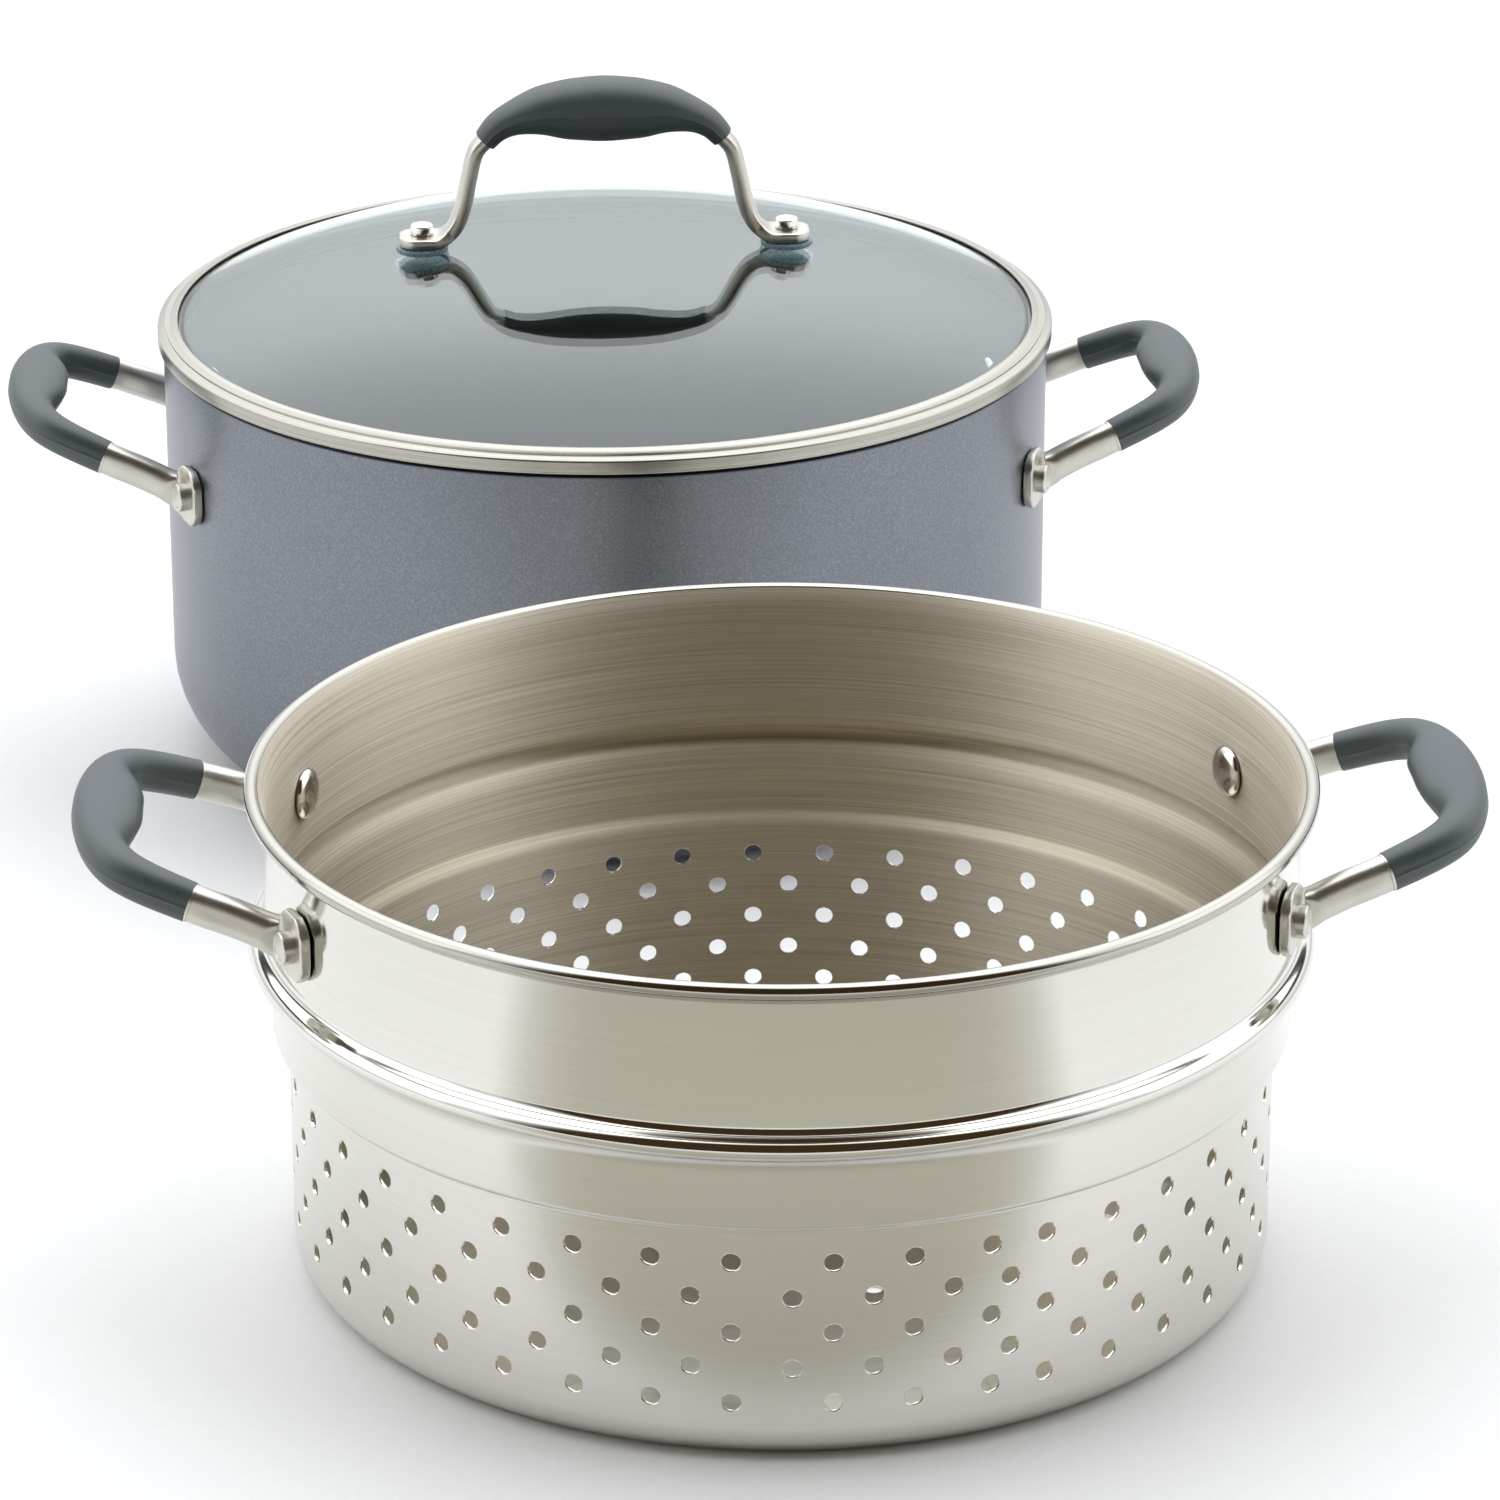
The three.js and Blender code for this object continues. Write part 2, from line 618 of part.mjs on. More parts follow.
// Lid
function bandGeometry() {
  const groove = LIP_RADIUS + BAND_GRIP;
  const grooveTop = GLASS_EDGE + SEAT_GAP;
  const ledgeTop = BAND_BOTTOM + BAND_LEDGE;
  const skirtInside = SKIRT_RADIUS - BAND_SHEET;
  return turned(
    closedProfile([
      point(BAND_RADIUS, BAND_BOTTOM),
      point(BAND_RADIUS, BAND_BOTTOM + BAND_SIDE),
      point(BAND_RADIUS - BAND_CHAMFER, BAND_BOTTOM + BAND_SIDE + BAND_CHAMFER),
      point(LIP_RADIUS, LIP_TOP),
      point(LIP_RADIUS, grooveTop),
      point(groove, grooveTop),
      point(groove, ledgeTop),
      point(skirtInside, ledgeTop),
      point(skirtInside, BAND_BOTTOM - SKIRT_DEPTH),
      point(SKIRT_RADIUS, BAND_BOTTOM - SKIRT_DEPTH),
      point(SKIRT_RADIUS, BAND_BOTTOM),
    ]),
  );
}

function glassGeometry() {
  const washerEdges = [STUD_SPREAD - WASHER_DIAMETER / 2, STUD_SPREAD + WASHER_DIAMETER / 2];
  const shoulder = GLASS_SHOULDER_STEPS.map((share) => share * LIP_RADIUS);
  const top = [0, ...washerEdges, ...shoulder].map((radius) => point(radius, glassTop(radius)));
  const under = top.map((place) => point(place.x, place.y - GLASS_THICKNESS));
  const edge = [point(GLASS_RADIUS, GLASS_BOTTOM), point(GLASS_RADIUS, GLASS_EDGE)];
  const profile = [...under, ...edge, ...top.reverse()];
  const holeDiameter = 2 * clearOfFacets(STUD_SHANK / 2 + STUD_HOLE_PLAY, PIN_FACETS);
  const holes = [1, -1].map((side) => {
    const hole = pin(holeDiameter, GLASS_RISE);
    return hole.translate(side * STUD_SPREAD, 0, glassTop(STUD_SPREAD));
  });
  return cut(turned(profile), holes);
}

function washerGeometry(bottom, thickness) {
  const hole = clearOfFacets(STUD_SHANK / 2 + RIVET_PLAY, WASHER_FACETS);
  return turned(
    closedProfile([
      point(WASHER_DIAMETER / 2, bottom),
      point(WASHER_DIAMETER / 2, bottom + thickness),
      point(hole, bottom + thickness),
      point(hole, bottom),
    ]),
    WASHER_FACETS,
  );
}

function studGeometry() {
  const headFace = LID_TAB_TOP + SEAT_GAP;
  const foot = NUT_TOP - NUT_BORE_DEPTH + SEAT_GAP;
  return turned(
    [
      point(0, foot),
      point(STUD_SHANK / 2, foot),
      point(STUD_SHANK / 2, headFace),
      point(STUD_HEAD / 2, headFace),
      point(STUD_HEAD / 2, headFace + STUD_HEAD_HEIGHT),
      point(0, headFace + STUD_HEAD_HEIGHT),
    ],
    PIN_FACETS,
  );
}

function nutGeometry() {
  const bore = clearOfFacets(STUD_SHANK / 2 + RIVET_PLAY, PIN_FACETS);
  return turned(
    [
      ...arc(0, NUT_TOP, NUT_DIAMETER / 2, NUT_HEIGHT, -90, 0, 2),
      point(bore, NUT_TOP),
      point(bore, NUT_TOP - NUT_BORE_DEPTH),
      point(0, NUT_TOP - NUT_BORE_DEPTH),
    ],
    PIN_FACETS,
  );
}

function lidHandle() {
  const tabInner = STUD_SPREAD - LID_TAB_LENGTH / 2;
  const half = [
    [tabInner, 0],
    [LID_ARM_SPREAD, LID_ARM_LEVEL],
    [LID_GRIP_SPREAD, LID_GRIP_LEVEL],
    [LID_BOW_SPREAD, LID_BOW_LEVEL],
  ].map(([x, rise]) => new THREE.Vector3(x, 0, LID_TAB_MIDDLE + rise));
  const middle = new THREE.Vector3(0, 0, LID_TAB_MIDDLE + LID_TOP_LEVEL);
  const mirrored = half.map((place) => place.clone().setX(-place.x));
  const bow = [...mirrored, middle, ...half.reverse()];
  const { bar, sleeve } = bowPieces(bow, new THREE.Vector3(0, 1, 0), {
    arm: LID_ARM,
    core: LID_CORE,
    sleeveEnd: LID_GRIP_END,
    sleeveMiddle: LID_GRIP_MIDDLE,
  });
  const tabs = [1, -1].map((side) => {
    const shape = chamferedPlate(LID_TAB_LENGTH, LID_TAB_WIDTH, LID_TAB_CHAMFER);
    return plate(shape, LID_TAB_THICKNESS).translate(side * STUD_SPREAD, 0, LID_TAB_BOTTOM);
  });
  const holeDiameter = 2 * clearOfFacets(STUD_SHANK / 2 + RIVET_PLAY, PIN_FACETS);
  const holes = [1, -1].map((side) => {
    const hole = pin(holeDiameter, LID_TAB_LENGTH);
    return hole.translate(side * STUD_SPREAD, 0, LID_TAB_MIDDLE);
  });
  return { frame: cut(join([bar, ...tabs]), holes), grip: sleeve };
}

function piece(name, geometry, finish) {
  const mesh = new THREE.Mesh(geometry, new THREE.MeshStandardMaterial(FINISH[finish]));
  mesh.name = name;
  return mesh;
}

// Both side handles of one vessel with their rivets
function sideHandles(vessel, wallRadius, wallThickness, level, slope) {
  const handles = new THREE.Group();
  for (const [side, turn] of [['right', 0], ['left', Math.PI]]) {
    const { frame, grip, angle } = sideHandle(wallRadius, level, slope);
    const group = new THREE.Group();
    group.add(piece(`${vessel}_${side}_handle_frame`, frame, 'brushedSteel'));
    group.add(piece(`${vessel}_${side}_handle_grip`, grip, 'grip'));
    const front = side === 'right' ? -1 : 1;
    for (const [end, place] of [['front', front * angle], ['rear', -front * angle]]) {
      const rivet = rivetGeometry(wallRadius, wallThickness);
      rivet.applyMatrix4(rivetFrame(wallRadius, level, place));
      group.add(piece(`${vessel}_${side}_handle_${end}_rivet`, rivet, 'brushedSteel'));
    }
    group.rotation.z = turn;
    handles.add(group);
  }
  return handles;
}

function pot() {
  const group = new THREE.Group();
  group.add(piece('pot_body', potGeometry(), 'anodised'));
  group.add(sideHandles('pot', POT_RADIUS, POT_WALL, POT_RIVET_LEVEL, POT_BOW_SLOPE));
  return group;
}

function insert() {
  const group = new THREE.Group();
  group.add(piece('insert_basket', insertGeometry(), 'polishedSteel'));
  group.add(sideHandles('insert', UPPER_RADIUS, SHEET, INSERT_RIVET_LEVEL, INSERT_BOW_SLOPE));
  group.position.set(INSERT_X, INSERT_Y, 0);
  return group;
}

function lid() {
  const group = new THREE.Group();
  group.add(piece('lid_glass', glassGeometry(), 'glass'));
  group.add(piece('lid_rim_band', bandGeometry(), 'brushedSteel'));
  const { frame, grip } = lidHandle();
  group.add(piece('lid_handle_frame', frame, 'brushedSteel'));
  group.add(piece('lid_handle_grip', grip, 'grip'));
  const lowerWasherBottom = LOWER_WASHER_TOP - LOWER_WASHER;
  for (const [side, sign] of [['right', 1], ['left', -1]]) {
    const hardware = [
      piece(`lid_${side}_stud`, studGeometry(), 'polishedSteel'),
      piece(`lid_${side}_upper_washer`, washerGeometry(UPPER_WASHER_BOTTOM, UPPER_WASHER), 'washer'),
      piece(`lid_${side}_lower_washer`, washerGeometry(lowerWasherBottom, LOWER_WASHER), 'washer'),
      piece(`lid_${side}_nut`, nutGeometry(), 'polishedSteel'),
    ];
    for (const part of hardware) {
      part.position.x = sign * STUD_SPREAD;
      group.add(part);
    }
  }
  return group;
}

const cookware = new THREE.Group();
cookware.add(pot(), lid(), insert());

export default cookware;
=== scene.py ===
"""Stockpot with a glass lid and a steamer insert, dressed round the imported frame. Metres, +Z up."""
import math

import bmesh
import bpy
from mathutils import Matrix, Vector


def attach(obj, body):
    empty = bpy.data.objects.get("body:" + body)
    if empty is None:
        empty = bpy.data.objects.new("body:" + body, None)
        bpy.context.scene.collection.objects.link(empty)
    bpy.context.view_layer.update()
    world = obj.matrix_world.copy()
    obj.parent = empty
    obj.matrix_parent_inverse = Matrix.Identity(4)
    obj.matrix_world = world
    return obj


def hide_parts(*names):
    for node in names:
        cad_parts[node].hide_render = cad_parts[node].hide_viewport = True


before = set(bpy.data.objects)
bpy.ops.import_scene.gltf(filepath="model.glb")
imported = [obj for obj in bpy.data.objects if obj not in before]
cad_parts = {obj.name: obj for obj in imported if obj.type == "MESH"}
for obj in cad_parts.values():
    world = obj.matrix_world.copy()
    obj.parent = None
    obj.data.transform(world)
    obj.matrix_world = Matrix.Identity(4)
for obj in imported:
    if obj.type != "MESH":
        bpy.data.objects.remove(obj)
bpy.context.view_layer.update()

# Lengths of the pieces are millimetres, as in the part's source, and those of the studio are metres
MM = 0.001

# Pot
POT_RADIUS = 140
POT_HEIGHT = 136
POT_WALL = 3
POT_FLOOR = 5
POT_CORNER = 33
POT_RIM_ROUND = 1.2
# Levels of a painted shade line round the top of the pot, standing in for the shade under the lid's band
POT_PAINTED_SHADE_LEVELS = (134.3, 134.9)
POT_FLOOR_MEETS_WALL = 30
COATING = 1
COATING_EDGE = 0.85
COATING_TOP = 129.6

# Insert
INSERT_PLACE = (30.5, -371, 0)
INSERT_HEIGHT = 135
SHEET = 0.8
BASKET_RADIUS = 131
BASKET_CORNER = 9
STEP_LEVEL = 66
STEP_ROUND = 1.9
BASKET_DULLNESS = 0.13
NECK_RADIUS = 135
NECK_TOP = 82
BEAD_RADIUS = 141
BEAD_LEVEL = 90.3
BEAD_ROUND = 2.9
BEAD_TURN = 165
SHOULDER_RISE = 1.8
SHOULDER_ROUND = 2.4
UPPER_RADIUS = 136.4
RIM_RADIUS = 141
RIM_ROLL = 2.1
RIM_ROLL_START = -140
RIM_ROLL_TURN = 280
RIM_FOOT = 3 * RIM_ROLL

# Perforation
HOLE_RADIUS = 2.45
HOLE_EDGE = 0.18
HOLE_COLLAR = 3 * HOLE_EDGE
HOLES_PER_ROW = 40
HOLE_ROWS = 5
ROW_PITCH = 9.75
LOWEST_ROW = 16.8
FIRST_HOLE_ANGLE = -0.4
SLIPPED_COLUMNS = 3
PUNCH_SLIP = 2.2
FLOOR_RINGS = 2
FLOOR_RING_PITCH = 44
HOLES_ON_FIRST_RING = 6

# Lid
BAND_BOTTOM = 136.3
BAND_RADIUS = 141.7
BAND_SIDE = 4.2
LIP_RADIUS = 135.2
LIP_TOP = 143.1
GROOVE_RADIUS = 139.2
GROOVE_TOP = 142.1
LEDGE_TOP = 137.5
SKIRT_RADIUS = 134.9
SKIRT_INSIDE = 133.9
SKIRT_BOTTOM = 131.3
GLASS_RADIUS = 138.9
GLASS_EDGE = 141.8
GLASS_THICKNESS = 4
GLASS_RISE = 22.8
CROWN_SHARE = 0.66
SHOULDER_POWER = 4
GLASS_EDGE_ROUND = 0.8
BAND_FOOT_ROUND = 0.4
BAND_TOP_ROUND = 0.7
LIP_ROUND = 0.45
LIP_UNDER_ROUND = 0.2
LEDGE_ROUND = 0.4
SKIRT_ROUND = 0.3

# Lid handle and its studs
STUD_SPREAD = 57.6
STUD_HEAD = 3.6
STUD_HEAD_HEIGHT = 3
STUD_HEAD_ROUND = 0.5
STUD_DISH = (0.7, 0.62)
STUD_DISH_DEPTH = 0.2
WASHER_RADIUS = 8.25
WASHER_FOOT_ROUND = 0.5
WASHER_TOP_ROUND = 0.6
UPPER_WASHER = 1.8
LOWER_WASHER = 1.5
NUT_RADIUS = 5.5
NUT_HEIGHT = 5
SEAT_GAP = 0.3
LID_TAB_OUTER = 7
LID_TAB_WIDTH = 15
LID_TAB_THICKNESS = 3.3
LID_TAB_CHAMFER = 4
LID_TAB_END = 11
LID_PLATE_END = 12
LID_ARM = (9, 5.4)
LID_NECK_EXTRA = 0.5
LID_NECK_END = 17
LID_ARM_THICKENED = 22
LID_ARM_NARROWED = 24
LID_ARM_POINTS = ((51.5, 0.3), (47.5, 3.4), (44.7, 9.9), (42.5, 20), (40.2, 28.4))
LID_GRIP_POINTS = ((37.2, 32), (33.5, 36), (29, 38.6), (20, 41.1), (11, 41.5), (0, 41.6))
LID_GRIP_ACROSS = (11, 13, 15, 18.5, 20.4, 21)
LID_GRIP_THICK = (7.4, 8.6, 10, 14.6, 18.4, 20)

# Side handles
POT_RIVET_LEVEL = 100.6
POT_BOW_SLOPE = 0.42
INSERT_RIVET_LEVEL = 110.3
INSERT_BOW_SLOPE = 0.36
RIVET_PITCH = 102
TAB_WIDTH = 15.5
TAB_HEIGHT = 18
TAB_THICKNESS = 3
TAB_CHAMFER = 4.5
TAB_CORNER = ((0, 2), (0.25, 1.1), (0.6, 0.48), (1, 0))
TAB_BEVEL = 0.6
TAB_BEVEL_RUN = 0.8
TAB_GAP = 0.08
NECK_INSET = 6.5
NECK_LIFT = 1.1
ARM_BEND = (6, 43.2)
GRIP_START = (18, 41.5)
BOW_CORNER = (36.5, 33)
BOW_MIDDLE = (42.8, 0)
ARM = (10, 7.6)
ARM_NECK_EXTRA = 1
ARM_NECK_BEFORE = 0.5
ARM_THICKENED = 3
ARM_NARROWED = 4
ARM_GAP = 0.02
GRIP_POINT = 5
GRIP_ACROSS = (10.7, 11.1, 11.4)
GRIP_THICK = (8.7, 11, 13)
GRIP_END_ROUND = 0.7
PAD_REACH = 5.3
PAD_HALF_LENGTH = 26
PAD_TAPER_TOP = 0.12
PAD_TAPER_BOTTOM = 0.5
COLLAR_LENGTH = 0.045
COLLAR_GAP = 0.004
COLLAR_INSET = 0.35
SEAM_HEIGHT = 0.14
SEAM_TURN = 1.5
SIDE_SEAM = 90
LID_SEAM = 0
RIVET_STUB = 4.4
RIVET_STUB_HEIGHT = 3
RIVET_STUB_ROUND = 0.5
RIVET_DISH = (0.72, 0.66)
RIVET_DISH_DEPTH = 0.25
DISH_ROUND = 0.2
RIVET_HEAD = 7
RIVET_HEAD_HEIGHT = 2.8
RIVET_HEAD_EDGE = 0.25
RIVET_HEAD_INSET = 0.4

# Finishes of the pieces that have more than one, in the order of their numbers
POT_OUTSIDE, POT_INSIDE, POT_EDGE = range(3)
SHEET_OUTSIDE, SHEET_INSIDE, SHEET_RIM, SHEET_FLOOR = range(4)
RIVET_STUB_FINISH, RIVET_HEAD_FINISH = range(2)

# Sockets of the Mix node for colours
MIX_FIRST = 6
MIX_SECOND = 7
MIX_RESULT = 2

# Fineness and roundness of the meshes
COLUMNS = 8 * HOLES_PER_ROW
CELL_COLUMNS = 8
CELL_RISES = 6
HOLE_POINTS = 2 * (CELL_COLUMNS + CELL_RISES)
PIN_COLUMNS = 32
SECTION_POINTS = 36
ROLL_STEPS = 24
BEAD_STEPS = 16
UNDER_BEAD_STEPS = 10
GLASS_RINGS = 56
GLASS_CROWDING = 0.8
RIVET_DOME_STEPS = 12
NUT_DOME_STEPS = 10
ARM_STEPS = 60
LID_ARM_STEPS = 72
GRIP_STEPS = 80
BOW_NUDGE = 0.01
WALL_FACING = 0.97
FLOOR_SIDES = 64
TURN_STEP = math.radians(9)
SHARP_ANGLE = math.radians(38)
WELD = 0.0005
PLATE_SQUARENESS = 7
BAR_SQUARENESS = 2.5
GRIP_SQUARENESS = 2.35

# Camera and studio
CAMERA_PLACE = (-0.07394, -1.86506, 0.74538)
CAMERA_TILT = (67.992, 0, -3.68)
CAMERA_LENS = 147.92
CAMERA_SENSOR = 36
FLOOR_REACH = 12
SIDE_LIGHT = 0.75
HIGH_LIGHT = 1.3
HIGH_LEVEL = 0.6
HIGH_HALF_WIDTH = (0.3, 0.9)
HIGH_SIDE_SHARE = 0.25
OVERHEAD_LIGHT = 0.6
OVERHEAD_TIGHTNESS = 4
FRONT_LIGHT = 0.055
FRONT_TINT = (1, 0.62, 0.25, 1)
TINT_END = 0.2
DARK_FRONT_FAN = (1.25 ** 2, 2.3 ** 2)
DARK_TOP = (-0.27, 0.02)
LAMP_POWER = 2.5
LAMP_SIZE = (1.2, 0.8)
LAMP_AIM = (0, -0.2, 0.05)
LAMPS = {"left_softbox": (-1.4, -0.2, 0.7), "right_softbox": (1.45, -0.2, 0.7)}
# Painted shade on the floor: a soft darker fan in front of the insert, standing in for a shadow there, which
# the insert's front reflects
FRONT_EDGE = (-0.56, -0.515)
FRONT_FAN = (0.6 ** 2, 2.2 ** 2)
FRONT_FAN_APEX = (0.0542, -0.4413)
FRONT_END = (-1.15, -0.72)
LIGHT_TINT = (0.98, 1, 1.03, 1)


class Channel:
    """A socket's value in a finish. Arithmetic on it adds Math nodes."""

    def __init__(self, finish, socket):
        self.finish = finish
        self.socket = socket

    def worked(self, operation, first, second):
        return self.finish.add("ShaderNodeMath", {"operation": operation}, {0: first, 1: second})

    def __add__(self, other):
        return self.worked("ADD", self, other)

    def __radd__(self, other):
        return self.worked("ADD", other, self)

    def __sub__(self, other):
        return self.worked("SUBTRACT", self, other)

    def __rsub__(self, other):
        return self.worked("SUBTRACT", other, self)

    def __mul__(self, other):
        return self.worked("MULTIPLY", self, other)

    def __rmul__(self, other):
        return self.worked("MULTIPLY", other, self)

    def __truediv__(self, other):
        return self.worked("DIVIDE", self, other)

    def __pow__(self, other):
        return self.worked("POWER", self, other)

    def or_more(self, other):
        return self.worked("MAXIMUM", self, other)


class Finish:
    """A material of one surface shader, whose constants sit on the shader's own sockets."""

    def __init__(self, name, **constants):
        self.material = bpy.data.materials.new(name)
        self.material.use_nodes = True
        self.tree = self.material.node_tree
        self.surface = self.tree.nodes["Principled BSDF"]
        for socket, value in constants.items():
            self.surface.inputs[socket.replace("_", " ")].default_value = value

    @classmethod
    def of_tree(cls, tree, surface):
        """The same for a tree that exists, such as the world's."""
        finish = cls.__new__(cls)
        finish.tree = tree
        finish.surface = surface
        return finish

    def add(self, kind, settings, inputs, output=0):
        node = self.tree.nodes.new(kind)
        for setting, value in settings.items():
            setattr(node, setting, value)
        for socket, value in inputs.items():
            if isinstance(value, Channel):
                self.tree.links.new(value.socket, node.inputs[socket])
            else:
                node.inputs[socket].default_value = value
        return Channel(self, node.outputs[output])

    def feed(self, socket, channel):
        self.tree.links.new(channel.socket, self.surface.inputs[socket])

    def place(self):
        return self.add("ShaderNodeTexCoord", {}, {}, "Object")

    def axes(self, place):
        split = self.add("ShaderNodeSeparateXYZ", {}, {0: place})
        outputs = split.socket.node.outputs
        return [Channel(self, outputs[axis]) for axis in range(3)]

    def spot(self, x, y, z):
        return self.add("ShaderNodeCombineXYZ", {}, {0: x, 1: y, 2: z})

    def distance(self, place):
        return self.add("ShaderNodeVectorMath", {"operation": "LENGTH"}, {0: place}, "Value")

    def noise(self, place, scale, detail=2.0, roughness=0.5):
        settings = {"Scale": scale, "Detail": detail, "Roughness": roughness, "Vector": place}
        return self.add("ShaderNodeTexNoise", {}, settings)

    def ranged(self, channel, low, high, to_low, to_high, course="LINEAR"):
        sockets = {"Value": channel, "From Min": low, "From Max": high, "To Min": to_low, "To Max": to_high}
        return self.add("ShaderNodeMapRange", {"clamp": True, "interpolation_type": course}, sockets)

    def between(self, share, first, second):
        sockets = {0: share, MIX_FIRST: first, MIX_SECOND: second}
        return self.add("ShaderNodeMix", {"data_type": "RGBA"}, sockets, MIX_RESULT)

    def bumped(self, height, strength, depth):
        self.feed("Normal", self.add(
            "ShaderNodeBump", {}, {"Strength": strength, "Distance": depth, "Height": height}, "Normal"))


def colour(red, green, blue):
    return (red, green, blue, 1)


def anodised():
    """Hard-anodised outside of the pot: blue-grey with a fine metallic speckle, and a painted shade line,
    near black, just under the lid's band.
    """
    finish = Finish("anodised_grey", Metallic=0.92, IOR=1.6)
    place = finish.place()
    speckle = finish.noise(place, scale=1500, detail=1)
    cloud = finish.noise(place, scale=26, detail=3)
    glint = finish.ranged(speckle, 0.42, 0.74, 0, 1)
    base = finish.between(glint, colour(0.19, 0.205, 0.232), colour(0.27, 0.288, 0.322))
    shaded = finish.between(finish.ranged(cloud, 0.3, 0.7, 0, 0.14), base, colour(0.17, 0.185, 0.21))
    # Painted shade: near black between these levels, where the lid's band overhangs the wall
    _, _, height = finish.axes(place)
    low, high = POT_PAINTED_SHADE_LEVELS
    edge = finish.ranged(height, low * MM, high * MM, 0, 1)
    finish.feed("Base Color", finish.between(edge, shaded, colour(0.012, 0.013, 0.015)))
    finish.feed("Roughness", 0.28 + 0.1 * speckle + 0.04 * cloud)
    finish.bumped(speckle, strength=0.04, depth=0.0002)
    return finish.material


def coated():
    """Dark non-stick coating inside the pot."""
    finish = Finish("coated_inside", Metallic=0.1, IOR=1.5)
    place = finish.place()
    fleck = finish.noise(place, scale=1100, detail=1)
    base = finish.between(fleck, colour(0.04, 0.045, 0.046), colour(0.05, 0.056, 0.057))
    finish.feed("Base Color", base)
    finish.feed("Roughness", 0.4 + 0.04 * fleck)
    return finish.material


def turned_lines(finish, along, across):
    """Fine lines that run round a turned piece: slow along the line, quick from line to line."""
    place = finish.place()
    x, y, z = finish.axes(place)
    radius = finish.distance(finish.spot(x, y, 0.0))
    drawn_out = finish.spot(along * x, along * y, across * (z + radius))
    return finish.noise(drawn_out, scale=1, detail=3, roughness=0.6)


def polished_sheet():
    """Mirror-bright outside of the insert, with faint drawing lines and a little unevenness."""
    finish = Finish("polished_sheet", Metallic=1.0)
    lines = turned_lines(finish, along=7, across=1400)
    cloud = finish.noise(finish.place(), scale=22, detail=2)
    base = finish.between(lines, colour(0.67, 0.65, 0.595), colour(0.765, 0.75, 0.705))
    finish.feed("Base Color", base)
    _, _, height = finish.axes(finish.place())
    drawn = finish.ranged(height, (STEP_LEVEL - STEP_ROUND) * MM, NECK_TOP * MM, BASKET_DULLNESS, 0)
    finish.feed("Roughness", 0.05 + 0.05 * lines + 0.03 * cloud + drawn)
    finish.bumped(lines, strength=0.05, depth=0.00006)
    return finish.material


def lined_steel(name, dark, light, smoothest, roughened):
    """Steel with faint lines round it, duller than the polished sheet."""
    finish = Finish(name, Metallic=1.0)
    lines = turned_lines(finish, along=7, across=900)
    finish.feed("Base Color", finish.between(lines, dark, light))
    finish.feed("Roughness", smoothest + roughened * lines)
    finish.bumped(lines, strength=0.05, depth=0.00005)
    return finish.material


def rolled_edge_painted_shade():
    """Rolled rim of the insert, in the sheet's steel but darker: painted shade that keeps the roll grey
    under the bright studio light.
    """
    # Painted shade: darker than the same steel on the polished sheet
    dark = colour(0.42, 0.405, 0.365)
    light = colour(0.52, 0.5, 0.455)
    return lined_steel("rolled_edge_painted_shade", dark, light, smoothest=0.1, roughened=0.06)


def drawn_floor_painted_shade():
    """Floor of the insert, dulled by the drawing tool, and darker than the sheet's steel: painted shade
    against the bright light from overhead.
    """
    # Painted shade: darker than the same steel on the walls
    dark = colour(0.5, 0.48, 0.425)
    light = colour(0.58, 0.56, 0.5)
    return lined_steel("drawn_floor_painted_shade", dark, light, smoothest=0.18, roughened=0.08)


def brushed_sheet():
    """Inside of the insert, brushed round the wall."""
    finish = Finish("brushed_sheet", Metallic=1.0, Anisotropic=0.92, Anisotropic_Rotation=0.25)
    lines = turned_lines(finish, along=9, across=2600)
    coarse = turned_lines(finish, along=4, across=420)
    share = finish.ranged(lines, 0.3, 0.7, 0, 1)
    base = finish.between(share, colour(0.58, 0.525, 0.42), colour(0.88, 0.81, 0.685))
    finish.feed("Base Color", base)
    finish.feed("Roughness", 0.46 + 0.12 * lines + 0.04 * coarse)
    finish.bumped(lines + 0.15 * coarse, strength=0.12, depth=0.00008)
    return finish.material


def brushed_band():
    """Band of the lid, brushed along its length."""
    finish = Finish("brushed_band", Metallic=1.0)
    lines = turned_lines(finish, along=6, across=3200)
    share = finish.ranged(lines, 0.3, 0.7, 0, 1)
    base = finish.between(share, colour(0.34, 0.325, 0.285), colour(0.5, 0.48, 0.43))
    finish.feed("Base Color", base)
    finish.feed("Roughness", 0.22 + 0.14 * lines)
    finish.bumped(lines, strength=0.18, depth=0.00006)
    return finish.material


def satin_steel():
    """Handle frames and rivets: satin steel with a soft tumbled grain."""
    finish = Finish("satin_steel", Metallic=1.0)
    place = finish.place()
    grain = finish.noise(place, scale=1900, detail=2)
    cloud = finish.noise(place, scale=90, detail=2)
    base = finish.between(grain, colour(0.54, 0.52, 0.465), colour(0.68, 0.655, 0.595))
    finish.feed("Base Color", base)
    finish.feed("Roughness", 0.26 + 0.12 * grain + 0.06 * cloud)
    finish.bumped(grain, strength=0.1, depth=0.00008)
    return finish.material


def polished_pin():
    """Studs of the lid and the rivets' inner heads."""
    finish = Finish("polished_pin", Metallic=1.0)
    place = finish.place()
    grain = finish.noise(place, scale=900, detail=2)
    base = finish.between(grain, colour(0.72, 0.7, 0.66), colour(0.84, 0.82, 0.78))
    finish.feed("Base Color", base)
    finish.feed("Roughness", 0.07 + 0.08 * grain)
    finish.bumped(grain, strength=0.03, depth=0.00006)
    return finish.material


